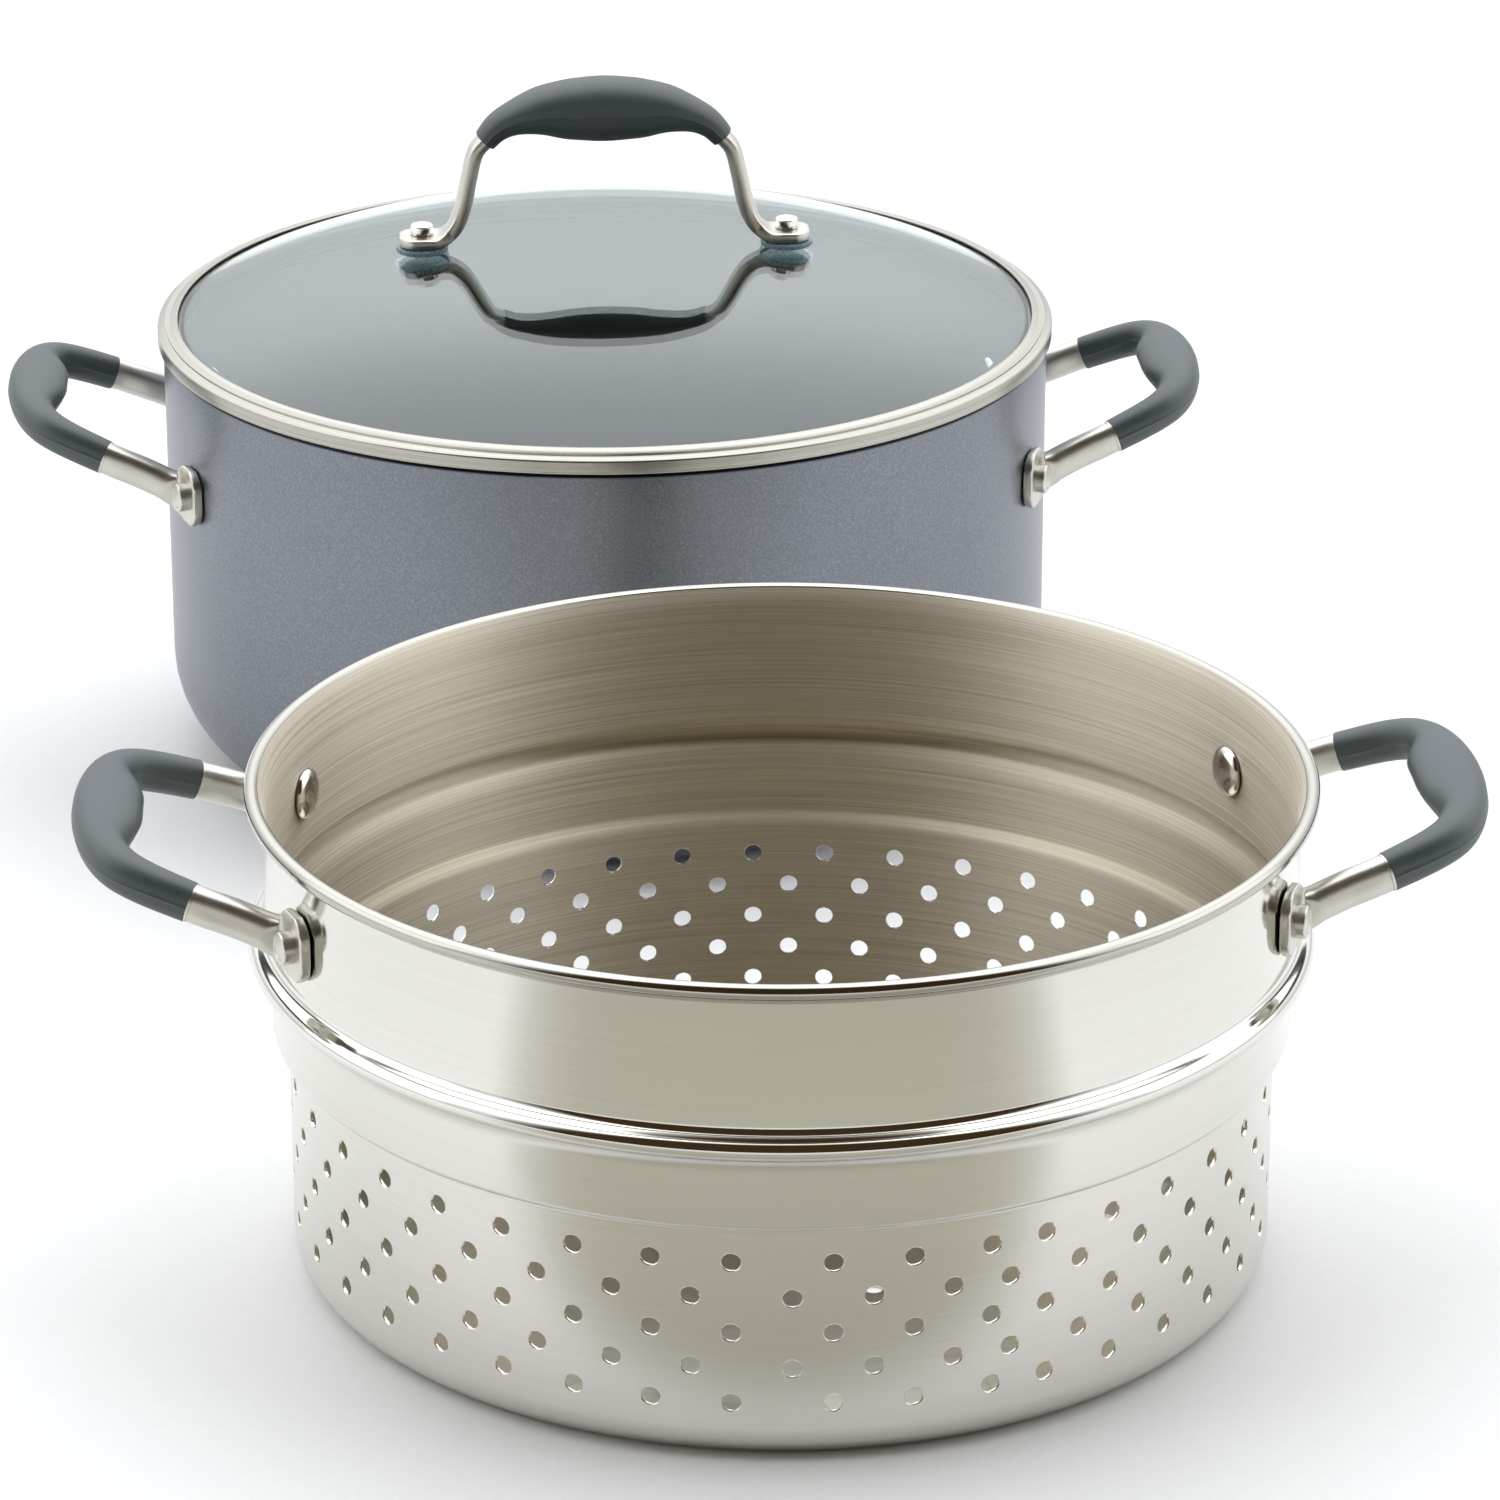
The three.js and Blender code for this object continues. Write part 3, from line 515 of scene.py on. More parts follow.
def soft_grip():
    """Matte silicone of the grips, with a fine moulded grain."""
    finish = Finish("soft_grip", IOR=1.5, Specular_IOR_Level=0.9)
    place = finish.place()
    grain = finish.noise(place, scale=2200, detail=2)
    cloud = finish.noise(place, scale=40, detail=2)
    base = finish.between(grain, colour(0.028, 0.041, 0.044), colour(0.052, 0.073, 0.077))
    finish.feed("Base Color", base)
    finish.feed("Roughness", 0.42 + 0.12 * grain + 0.05 * cloud)
    finish.bumped(grain, strength=0.16, depth=0.00012)
    return finish.material


def soft_washer():
    """Translucent blue-grey silicone of the washers."""
    finish = Finish("soft_washer", IOR=1.42, Transmission_Weight=0.45)
    grain = finish.noise(finish.place(), scale=1200, detail=2)
    base = finish.between(grain, colour(0.27, 0.4, 0.47), colour(0.36, 0.5, 0.57))
    finish.feed("Base Color", base)
    finish.feed("Roughness", 0.22 + 0.12 * grain)
    finish.bumped(grain, strength=0.02, depth=0.00005)
    return finish.material


def clear_glass():
    """Tempered glass with a slight green cast and hardly any waviness."""
    finish = Finish("clear_glass", IOR=1.52, Transmission_Weight=1.0, Roughness=0.0)
    wave = finish.noise(finish.place(), scale=14, detail=1)
    finish.feed("Base Color", finish.between(wave, colour(0.82, 0.945, 0.935), colour(0.85, 0.96, 0.95)))
    return finish.material


FINISHES = {
    maker.__name__: maker()
    for maker in (
        anodised, coated, polished_sheet, rolled_edge_painted_shade, drawn_floor_painted_shade, brushed_sheet, brushed_band,
        satin_steel, polished_pin, soft_grip, soft_washer, clear_glass,
    )
}


class Skin:
    """Corners, faces and face finishes of a piece while it is built, in millimetres."""

    def __init__(self):
        self.corners = []
        self.faces = []
        self.finishes = []

    def ring(self, places):
        first = len(self.corners)
        self.corners.extend(Vector(place) for place in places)
        return list(range(first, len(self.corners)))

    def face(self, corners, finish=0):
        self.faces.append(corners)
        self.finishes.append(finish)

    def bridge(self, lower, upper, finish=0):
        """Quads between two rings, or a fan where one of them is a single point."""
        count = max(len(lower), len(upper))
        for index in range(count):
            after = (index + 1) % count
            if len(lower) == 1:
                self.face([lower[0], upper[after], upper[index]], finish)
            elif len(upper) == 1:
                self.face([lower[index], lower[after], upper[0]], finish)
            else:
                self.face([lower[index], lower[after], upper[after], upper[index]], finish)

    def join(self, rings, finish=0):
        for lower, upper in zip(rings, rings[1:]):
            self.bridge(lower, upper, finish)


def rounded(corners, closed=False):
    """Profile of radius and height through (radius, height, fillet) corners."""
    places = [Vector(corner[:2]) for corner in corners]
    path = []
    for index, (_, _, fillet) in enumerate(corners):
        here = places[index]
        at_end = index in (0, len(corners) - 1) and not closed
        if fillet == 0 or at_end:
            path.append(here)
            continue
        back = (places[index - 1] - here).normalized()
        ahead = (places[(index + 1) % len(places)] - here).normalized()
        half = back.angle(ahead) / 2
        middle = here + (back + ahead).normalized() * (fillet / math.sin(half))
        spoke = here + back * (fillet / math.tan(half)) - middle
        turn = math.pi - 2 * half
        if back.x * ahead.y - back.y * ahead.x > 0:
            turn = -turn
        steps = max(2, math.ceil(abs(turn) / TURN_STEP))
        for step in range(steps + 1):
            path.append(middle + Matrix.Rotation(turn * step / steps, 2) @ spoke)
    return path


def offset_inward(path, thickness):
    """The path moved to its left by a thickness."""
    moved = []
    for index, here in enumerate(path):
        before = path[max(index - 1, 0)]
        after = path[min(index + 1, len(path) - 1)]
        along = (after - before).normalized()
        moved.append(here + Vector((-along.y, along.x)) * thickness)
    return moved


def circle(radius, height, columns, start=0.0):
    if radius < WELD:
        return [(0, 0, height)]
    places = []
    for column in range(columns):
        angle = start + 2 * math.pi * column / columns
        places.append((radius * math.cos(angle), radius * math.sin(angle), height))
    return places


def spun(skin, path, columns, finish=0, closed=False, start=0.0):
    """Adds the surface of a profile turned round Z."""
    rings = [skin.ring(circle(place.x, place.y, columns, start)) for place in path]
    skin.join(rings, finish)
    if closed:
        skin.bridge(rings[-1], rings[0], finish)


def put(skin, matrix):
    """Moves all corners of a skin, in millimetres."""
    skin.corners = [matrix @ corner for corner in skin.corners]
    return skin


def gathered(skins):
    whole = Skin()
    for skin in skins:
        first = len(whole.corners)
        whole.corners.extend(skin.corners)
        for corners, finish in zip(skin.faces, skin.finishes):
            whole.face([corner + first for corner in corners], finish)
    return whole


def mesh_of(name, skin):
    """Mesh of a skin, welded, facing outward and smooth but for its sharp edges."""
    mesh = bpy.data.meshes.new(name)
    sheet = bmesh.new()
    corners = [sheet.verts.new(corner * MM) for corner in skin.corners]
    for places, finish in zip(skin.faces, skin.finishes):
        face = sheet.faces.new([corners[place] for place in places])
        face.material_index = finish
        face.smooth = True
    bmesh.ops.remove_doubles(sheet, verts=sheet.verts, dist=WELD * MM)
    bmesh.ops.recalc_face_normals(sheet, faces=sheet.faces)
    sheet.to_mesh(mesh)
    sheet.free()
    mesh.set_sharp_from_angle(angle=SHARP_ANGLE)
    return mesh


def piece(name, skin, finishes, body, nodes, place=(0, 0, 0)):
    mesh = mesh_of(name, skin)
    for finish in finishes:
        mesh.materials.append(FINISHES[finish])
    made = bpy.data.objects.new(name, mesh)
    bpy.context.scene.collection.objects.link(made)
    made.location = Vector(place) * MM
    bpy.context.view_layer.update()
    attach(made, body)
    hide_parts(*nodes)
    return made


def make_pot():
    inside = POT_RADIUS - POT_WALL
    coated_inside = inside - COATING
    outside_path = rounded([
        (0, 0, 0),
        (POT_RADIUS, 0, POT_CORNER),
        (POT_RADIUS, POT_HEIGHT, POT_RIM_ROUND),
        (inside, POT_HEIGHT, POT_RIM_ROUND),
        (inside, COATING_TOP, 0),
    ])
    inside_path = rounded([
        (coated_inside, COATING_TOP - COATING_EDGE, 0),
        (coated_inside, POT_FLOOR, POT_FLOOR_MEETS_WALL),
        (0, POT_FLOOR, 0),
    ])
    skin = Skin()
    spun(skin, outside_path, COLUMNS, POT_OUTSIDE)
    spun(skin, [outside_path[-1], inside_path[0]], COLUMNS, POT_EDGE)
    spun(skin, inside_path, COLUMNS, POT_INSIDE)
    piece("pot_shell", skin, ["anodised", "coated", "polished_pin"], "pot", ["pot_body"])


def cell_edge():
    """Boundary of one cell of the perforation as shares of its pitch, once round."""
    across = [step / CELL_COLUMNS - 0.5 for step in range(CELL_COLUMNS)]
    rising = [step / CELL_RISES - 0.5 for step in range(CELL_RISES)]
    edge = [(share, -0.5) for share in across]
    edge += [(0.5, share) for share in rising]
    edge += [(-share, 0.5) for share in across]
    edge += [(-0.5, -share) for share in rising]
    return edge


def perforated_cell(skin, angle, level, slip):
    """One hole with the sheet round it. Angle and slip are degrees, level is the hole's middle."""
    pitch = 360 / HOLES_PER_ROW
    arc = math.radians(pitch) * BASKET_RADIUS
    shift = math.radians(slip) * BASKET_RADIUS
    inner = BASKET_RADIUS - SHEET

    def on_sheet(radius, places):
        ring = []
        for along, up in places:
            turn = math.radians(angle) + along / BASKET_RADIUS
            ring.append((radius * math.cos(turn), radius * math.sin(turn), level + up))
        return skin.ring(ring)

    edge = [(along * arc, up * ROW_PITCH) for along, up in cell_edge()]
    bearings = [math.atan2(up, along - shift) for along, up in edge]

    def hole(radius):
        return [(shift + radius * math.cos(turn), radius * math.sin(turn)) for turn in bearings]

    edge_radius = HOLE_RADIUS + HOLE_EDGE
    collar = HOLE_RADIUS + HOLE_COLLAR
    skin.join([on_sheet(BASKET_RADIUS, edge), on_sheet(BASKET_RADIUS, hole(collar))], SHEET_OUTSIDE)
    walls = [
        on_sheet(BASKET_RADIUS, hole(collar)),
        on_sheet(BASKET_RADIUS, hole(edge_radius)),
        on_sheet(BASKET_RADIUS - HOLE_EDGE, hole(HOLE_RADIUS)),
        on_sheet(inner + HOLE_EDGE / 2, hole(HOLE_RADIUS)),
        on_sheet(inner, hole(HOLE_RADIUS + HOLE_EDGE / 2)),
    ]
    skin.join(walls, SHEET_OUTSIDE)
    skin.join([walls[-1], on_sheet(inner, hole(collar)), on_sheet(inner, edge)], SHEET_INSIDE)


def perforated_wall(skin):
    pitch = 360 / HOLES_PER_ROW
    for row in range(HOLE_ROWS):
        stagger = 0 if row % 2 == 0 else -pitch / 2
        for column in range(HOLES_PER_ROW):
            angle = FIRST_HOLE_ANGLE + stagger + column * pitch - 90
            slip = PUNCH_SLIP if column < SLIPPED_COLUMNS else 0
            perforated_cell(skin, angle, LOWEST_ROW + row * ROW_PITCH, slip)


def floor_holes():
    places = [(0, 0)]
    for ring in range(1, FLOOR_RINGS + 1):
        count = ring * HOLES_ON_FIRST_RING
        reach = ring * FLOOR_RING_PITCH
        for place in range(count):
            angle = 2 * math.pi * place / count
            places.append((reach * math.cos(angle), reach * math.sin(angle)))
    return places


def perforated_floor(skin, edge_radius, start):
    """Both faces of the basket's floor with its holes, filled between the loops."""
    holes = floor_holes()
    for height, finish in ((0, SHEET_OUTSIDE), (SHEET, SHEET_FLOOR)):
        filled = bmesh.new()
        loops = [circle(edge_radius, height, COLUMNS, start)]
        for x, y in holes:
            rim = circle(HOLE_RADIUS, height, HOLE_POINTS)
            loops.append([(x + place[0], y + place[1], height) for place in rim])
        for loop in loops:
            corners = [filled.verts.new(place) for place in loop]
            for index, corner in enumerate(corners):
                filled.edges.new((corner, corners[index - 1]))
        bmesh.ops.triangle_fill(filled, use_beauty=True, use_dissolve=False, edges=filled.edges)
        filled.verts.index_update()
        numbers = skin.ring([corner.co for corner in filled.verts])
        for face in filled.faces:
            skin.face([numbers[corner.index] for corner in face.verts], finish)
        filled.free()
    for x, y in holes:
        rings = []
        for height in (0, SHEET):
            rim = circle(HOLE_RADIUS, height, HOLE_POINTS)
            rings.append(skin.ring([(x + place[0], y + place[1], height) for place in rim]))
        skin.join(rings, SHEET_OUTSIDE)


def rolled_rim():
    """Outside of the roll, from its foot on the wall to its inner top."""
    middle = Vector((RIM_RADIUS - RIM_ROLL, INSERT_HEIGHT - RIM_ROLL))
    points = []
    for step in range(ROLL_STEPS + 1):
        angle = math.radians(RIM_ROLL_START + RIM_ROLL_TURN * step / ROLL_STEPS)
        points.append(middle + Vector((math.cos(angle), math.sin(angle))) * RIM_ROLL)
    return points


def under_bead():
    """Quarter ellipse from the neck out to the bead's underside."""
    bead_middle = BEAD_RADIUS - BEAD_ROUND
    points = []
    for step in range(UNDER_BEAD_STEPS + 1):
        angle = math.pi / 2 * step / UNDER_BEAD_STEPS
        reach = (bead_middle - NECK_RADIUS) * (1 - math.cos(angle))
        rise = (BEAD_LEVEL - BEAD_ROUND - NECK_TOP) * math.sin(angle)
        points.append(Vector((NECK_RADIUS + reach, NECK_TOP + rise)))
    return points


def upper_outside():
    """Outside profile above the perforation, to the top of the upper wall."""
    top_of_holes = LOWEST_ROW + (HOLE_ROWS - 0.5) * ROW_PITCH
    step = rounded([
        (BASKET_RADIUS, top_of_holes, 0),
        (BASKET_RADIUS, STEP_LEVEL, STEP_ROUND),
        (NECK_RADIUS, STEP_LEVEL, STEP_ROUND),
        (NECK_RADIUS, NECK_TOP, 0),
    ])
    bead_middle = Vector((BEAD_RADIUS - BEAD_ROUND, BEAD_LEVEL))
    bead = []
    for turn in range(1, BEAD_STEPS + 1):
        angle = math.radians(-90 + BEAD_TURN * turn / BEAD_STEPS)
        bead.append(bead_middle + Vector((math.cos(angle), math.sin(angle))) * BEAD_ROUND)
    shoulder = rounded([
        (bead[-1].x, bead[-1].y, 0),
        (UPPER_RADIUS, BEAD_LEVEL + BEAD_ROUND + SHOULDER_RISE / 2, SHOULDER_ROUND),
        (UPPER_RADIUS, INSERT_HEIGHT - RIM_FOOT, 0),
    ])
    return step[:-1] + under_bead() + bead[:-1] + shoulder


def make_basket():
    start = math.radians(FIRST_HOLE_ANGLE - 90)
    lowest = LOWEST_ROW - ROW_PITCH / 2
    edge = BASKET_RADIUS - BASKET_CORNER
    corner = rounded([(edge - WELD, 0, 0), (BASKET_RADIUS, 0, BASKET_CORNER), (BASKET_RADIUS, lowest, 0)])
    inner = BASKET_RADIUS - SHEET
    inner_corner = rounded([
        (edge - WELD, SHEET, 0),
        (inner, SHEET, BASKET_CORNER - SHEET),
        (inner, lowest, 0),
    ])
    upper = upper_outside()
    skin = Skin()
    perforated_wall(skin)
    perforated_floor(skin, edge - WELD, start)
    spun(skin, corner, COLUMNS, SHEET_OUTSIDE, start=start)
    spun(skin, inner_corner, COLUMNS, SHEET_INSIDE, start=start)
    spun(skin, upper, COLUMNS, SHEET_OUTSIDE, start=start)
    rim = [upper[-1]] + rolled_rim()
    spun(skin, rim, COLUMNS, SHEET_RIM, start=start)
    inside = offset_inward(upper, SHEET)
    spun(skin, [rim[-1]] + inside[::-1], COLUMNS, SHEET_INSIDE, start=start)
    made = piece(
        "insert_sheet", skin, ["polished_sheet", "brushed_sheet", "rolled_edge_painted_shade", "drawn_floor_painted_shade"], "insert",
        ["insert_basket"], INSERT_PLACE)
    true_round_normals(made.data)


def true_round_normals(mesh):
    """Lets the perforated wall shade as one smooth cylinder between its holes."""
    low = BASKET_CORNER * MM
    high = (STEP_LEVEL - STEP_ROUND) * MM
    normals = [Vector(corner.vector) for corner in mesh.corner_normals]
    for face in mesh.polygons:
        levels = [mesh.vertices[number].co.z for number in face.vertices]
        on_wall = min(levels) >= low - WELD * MM and max(levels) <= high + WELD * MM
        radial = Vector((face.center.x, face.center.y, 0)).normalized()
        facing = face.normal.dot(radial)
        if not on_wall or abs(facing) < WALL_FACING:
            continue
        for loop in face.loop_indices:
            corner = mesh.vertices[mesh.loops[loop].vertex_index].co
            outward = Vector((corner.x, corner.y, 0)).normalized()
            normals[loop] = outward if facing > 0 else -outward
    mesh.normals_split_custom_set(normals)


def glass_top(radius):
    share = radius / LIP_RADIUS
    fall = CROWN_SHARE * share ** 2 + (1 - CROWN_SHARE) * share ** SHOULDER_POWER
    return GLASS_EDGE + GLASS_RISE * (1 - fall)


def make_lid():
    glass = Skin()
    reaches = [LIP_RADIUS * (ring / GLASS_RINGS) ** GLASS_CROWDING for ring in range(GLASS_RINGS + 1)]
    top = [Vector((reach, 0)) for reach in reaches]
    for place in top:
        place.y = glass_top(place.x)
    under = [Vector((place.x, place.y - GLASS_THICKNESS)) for place in top]
    bottom = GLASS_EDGE - GLASS_THICKNESS
    edge = rounded([
        (under[-1].x, under[-1].y, 0),
        (GLASS_RADIUS, bottom, GLASS_EDGE_ROUND),
        (GLASS_RADIUS, GLASS_EDGE, GLASS_EDGE_ROUND),
        (top[-1].x, top[-1].y, 0),
    ])
    spun(glass, under[:-1] + edge + top[-2::-1], COLUMNS)
    piece("lid_glass_dome", glass, ["clear_glass"], "lid", ["lid_glass"])
    band = Skin()
    spun(band, rounded([
        (BAND_RADIUS, BAND_BOTTOM, BAND_FOOT_ROUND),
        (BAND_RADIUS, BAND_BOTTOM + BAND_SIDE, BAND_TOP_ROUND),
        (LIP_RADIUS, LIP_TOP, LIP_ROUND),
        (LIP_RADIUS, GROOVE_TOP, LIP_UNDER_ROUND),
        (GROOVE_RADIUS, GROOVE_TOP, 0),
        (GROOVE_RADIUS, LEDGE_TOP, 0),
        (SKIRT_INSIDE, LEDGE_TOP, LEDGE_ROUND),
        (SKIRT_INSIDE, SKIRT_BOTTOM, SKIRT_ROUND),
        (SKIRT_RADIUS, SKIRT_BOTTOM, SKIRT_ROUND),
        (SKIRT_RADIUS, BAND_BOTTOM, 0),
    ], closed=True), COLUMNS, closed=True)
    piece("lid_steel_band", band, ["brushed_band"], "lid", ["lid_rim_band"])


class Bow:
    """Centripetal curve through points, with places given in points along it."""

    def __init__(self, points):
        self.points = [Vector(point) for point in points]

    def at(self, count):
        index = min(int(count), len(self.points) - 2)
        share = count - index
        here = self.points[index]
        there = self.points[index + 1]
        before = self.points[index - 1] if index > 0 else 2 * here - there
        beyond = self.points[index + 2] if index + 2 < len(self.points) else 2 * there - here
        lead = math.sqrt((here - before).length)
        span = math.sqrt((there - here).length)
        tail = math.sqrt((beyond - there).length)
        start = ((here - before) / lead - (there - before) / (lead + span) + (there - here) / span) * span
        end = ((there - here) / span - (beyond - here) / (span + tail) + (beyond - there) / tail) * span
        bend = -3 * here + 3 * there - 2 * start - end
        twist = 2 * here - 2 * there + start + end
        return here + start * share + bend * share ** 2 + twist * share ** 3

    def station(self, count, across_hint):
        low = max(count - BOW_NUDGE, 0)
        high = min(count + BOW_NUDGE, len(self.points) - 1)
        along = (self.at(high) - self.at(low)).normalized()
        across = (across_hint - along * across_hint.dot(along)).normalized()
        return self.at(count), across, along.cross(across)


def section(station, across, thick, squareness, seam=None):
    """Closed ring of a rounded section at a station. A mould's seam stands out at an angle and opposite."""
    at, across_way, side_way = station
    angles = [360 * index / SECTION_POINTS for index in range(SECTION_POINTS)]
    if seam is not None:
        for middle in (seam, seam + 180):
            angles += [middle - SEAM_TURN, middle + SEAM_TURN]
    ring = []
    for degrees in sorted(angles):
        angle = math.radians(degrees)
        up = math.copysign(abs(math.cos(angle)) ** (2 / squareness), math.cos(angle))
        out = math.copysign(abs(math.sin(angle)) ** (2 / squareness), math.sin(angle))
        proud = SEAM_HEIGHT if seam is not None and degrees % 180 == seam else 0
        ring.append(at + across_way * (up * (across / 2 + proud)) + side_way * (out * (thick / 2 + proud)))
    return ring


def closed_bar(skin, rings):
    """Bar through rings, its ends closed round a middle point."""
    numbers = [skin.ring(ring) for ring in rings]
    skin.join(numbers)
    for end in (0, -1):
        middle = sum(rings[end], Vector((0, 0, 0))) / len(rings[end])
        skin.bridge(numbers[end], skin.ring([middle]))


def along_profile(stops, distance):
    """Value at a distance from (distance, value) stops."""
    for (start, before), (end, after) in zip(stops, stops[1:]):
        if distance <= end:
            return before + (after - before) * (distance - start) / (end - start)
    return stops[-1][1]


def tab_end(width, chamfer):
    """Stops of a tab's width over its rounded corners, from shares of the chamfer."""
    return [(chamfer * share, width - chamfer * cut) for share, cut in TAB_CORNER]


def tab_bevel(thickness):
    """Stops of a tab's thickness over the bevel of its end."""
    return [(0, thickness - TAB_BEVEL), (TAB_BEVEL_RUN, thickness)]


def arm_rings(bow, first, last, across_hint, sizes, count=ARM_STEPS):
    """Rings of an arm that starts as a flat tab. Sizes give across, thick and squareness by distance."""
    places = [first + (last - first) * step / count for step in range(count + 1)]
    rings = []
    distance = 0.0
    for index, place in enumerate(places):
        if index > 0:
            distance += (bow.at(place) - bow.at(places[index - 1])).length
        across, thick, squareness = (along_profile(stops, distance) for stops in sizes)
        rings.append(section(bow.station(place, across_hint), across, thick, squareness))
    return rings


def grip_rings(bow, first, girth, across_hint, seam, pad=False):
    """Rings of a grip along the bow's points from the first on, with its girth at each of them."""
    spans = len(girth.points) - 1
    rings = []
    for step in range(GRIP_STEPS + 1):
        place = spans * step / GRIP_STEPS
        across, thick, _ = girth.at(place)
        station = bow.station(first + place, across_hint)
        ring = section(station, across, thick, GRIP_SQUARENESS, seam)
        rings.append(padded(ring, station, thick / 2) if pad else ring)
        if step in (0, GRIP_STEPS):
            lip = section(station, across - GRIP_END_ROUND, thick - GRIP_END_ROUND, GRIP_SQUARENESS, seam)
            rings.insert(0 if step == 0 else len(rings), lip)
    return rings


def padded(ring, station, half_thick):
    """Draws the inner side of a bow's section out into a thumb pad that thins towards its edge."""
    at, across_way, side_way = station
    nearness = max(1 - (at.y / PAD_HALF_LENGTH) ** 2, 0)
    fullness = nearness ** 2 * (3 - 2 * nearness)
    drawn = []
    for corner in ring:
        out = (corner - at).dot(side_way)
        up = (corner - at).dot(across_way)
        inward = max(-out / half_thick, 0)
        taper = PAD_TAPER_TOP if up > 0 else PAD_TAPER_BOTTOM
        lift = up * (1 - taper * fullness * inward ** 2)
        drawn.append(at + across_way * lift + side_way * (out - PAD_REACH * fullness * inward))
    return drawn


def collar_rings(bow, end, way, across_hint, across, thick):
    """Rings of the thin steel collar that closes a grip's end. Way is 1 or -1 along the bow."""
    places = [end - way * share for share in (COLLAR_GAP + COLLAR_LENGTH, COLLAR_GAP)]
    return [section(bow.station(place, across_hint), across, thick, GRIP_SQUARENESS) for place in places]


def mirrored_girth(across, thick):
    """Girth of a grip from its end to its middle and on to the other end."""
    half = [(wide, deep, 0) for wide, deep in zip(across, thick)]
    return Bow(half + half[-2::-1])


def rivet_frame(wall_radius, level, angle):
    """Z leaves the wall, Y is up."""
    out = Vector((math.cos(angle), math.sin(angle), 0))
    up = Vector((0, 0, 1))
    along = up.cross(out)
    matrix = Matrix((along, up, out)).transposed().to_4x4()
    matrix.translation = out * wall_radius + up * level
    return matrix


def dished_pin(radius, foot, top, edge_round, dish, depth):
    """Profile of a pin's end, with a shallow dish in its top. Dish gives its edge and floor as shares."""
    edge, floor = dish
    return rounded([
        (0, foot, 0),
        (radius, foot, 0),
        (radius, top, edge_round),
        (radius * edge, top, DISH_ROUND),
        (radius * floor, top - depth, DISH_ROUND),
        (0, top - depth, 0),
    ])


def falling_dome(radius, top, depth, steps, first):
    """Quarter ellipse from a dome's edge down to its middle."""
    points = []
    for step in range(first, steps + 1):
        angle = math.pi / 2 * step / steps
        points.append(Vector((radius * math.cos(angle), top - depth * math.sin(angle))))
    points[-1].x = 0
    return points


def make_rivet(name, body, node, wall_radius, wall, level, angle, turn, place):
    foot = TAB_GAP + TAB_THICKNESS
    top = foot + RIVET_STUB_HEIGHT
    stub = Skin()
    end = dished_pin(RIVET_STUB, foot, top, RIVET_STUB_ROUND, RIVET_DISH, RIVET_DISH_DEPTH)
    spun(stub, end, PIN_COLUMNS, RIVET_STUB_FINISH)
    base = -(wall + SEAT_GAP)
    edge = base - RIVET_HEAD_EDGE
    head = Skin()
    dome = [Vector((0, base)), Vector((RIVET_HEAD - RIVET_HEAD_INSET, base))]
    dome += falling_dome(RIVET_HEAD, edge, RIVET_HEAD_HEIGHT - RIVET_HEAD_EDGE, RIVET_DOME_STEPS, 0)
    spun(head, dome, PIN_COLUMNS, RIVET_HEAD_FINISH)
    skin = gathered([stub, head])
    put(skin, Matrix.Rotation(turn, 4, "Z") @ rivet_frame(wall_radius, level, angle))
    piece(name, skin, ["satin_steel", "polished_pin"], body, [node], place)


def side_handle_points(wall_radius, level, slope):
    """Middle line of a side handle from tab to tab. Beyond the tabs it lies in one sloping plane."""
    angle = math.asin(RIVET_PITCH / 2 / wall_radius)
    out = Vector((math.cos(angle), math.sin(angle), 0))
    along = Vector((-math.sin(angle), math.cos(angle), 0))
    tab = out * (wall_radius + TAB_GAP + TAB_THICKNESS / 2) + Vector((0, 0, level))
    foot = tab.x - along.x * TAB_WIDTH / 2

    def on_bow(reach, spread):
        x = wall_radius + reach
        return Vector((x, spread, level + slope * (x - foot)))

    half = [
        tab + along * (TAB_WIDTH / 2),
        tab + along * (TAB_WIDTH / 6),
        tab - along * (TAB_WIDTH / 6),
        tab + out * NECK_LIFT - along * NECK_INSET,
        on_bow(*ARM_BEND),
        on_bow(*GRIP_START),
        on_bow(*BOW_CORNER),
    ]
    mirrored = [Vector((point.x, -point.y, point.z)) for point in half]
    return mirrored + [on_bow(*BOW_MIDDLE)] + half[::-1], angle


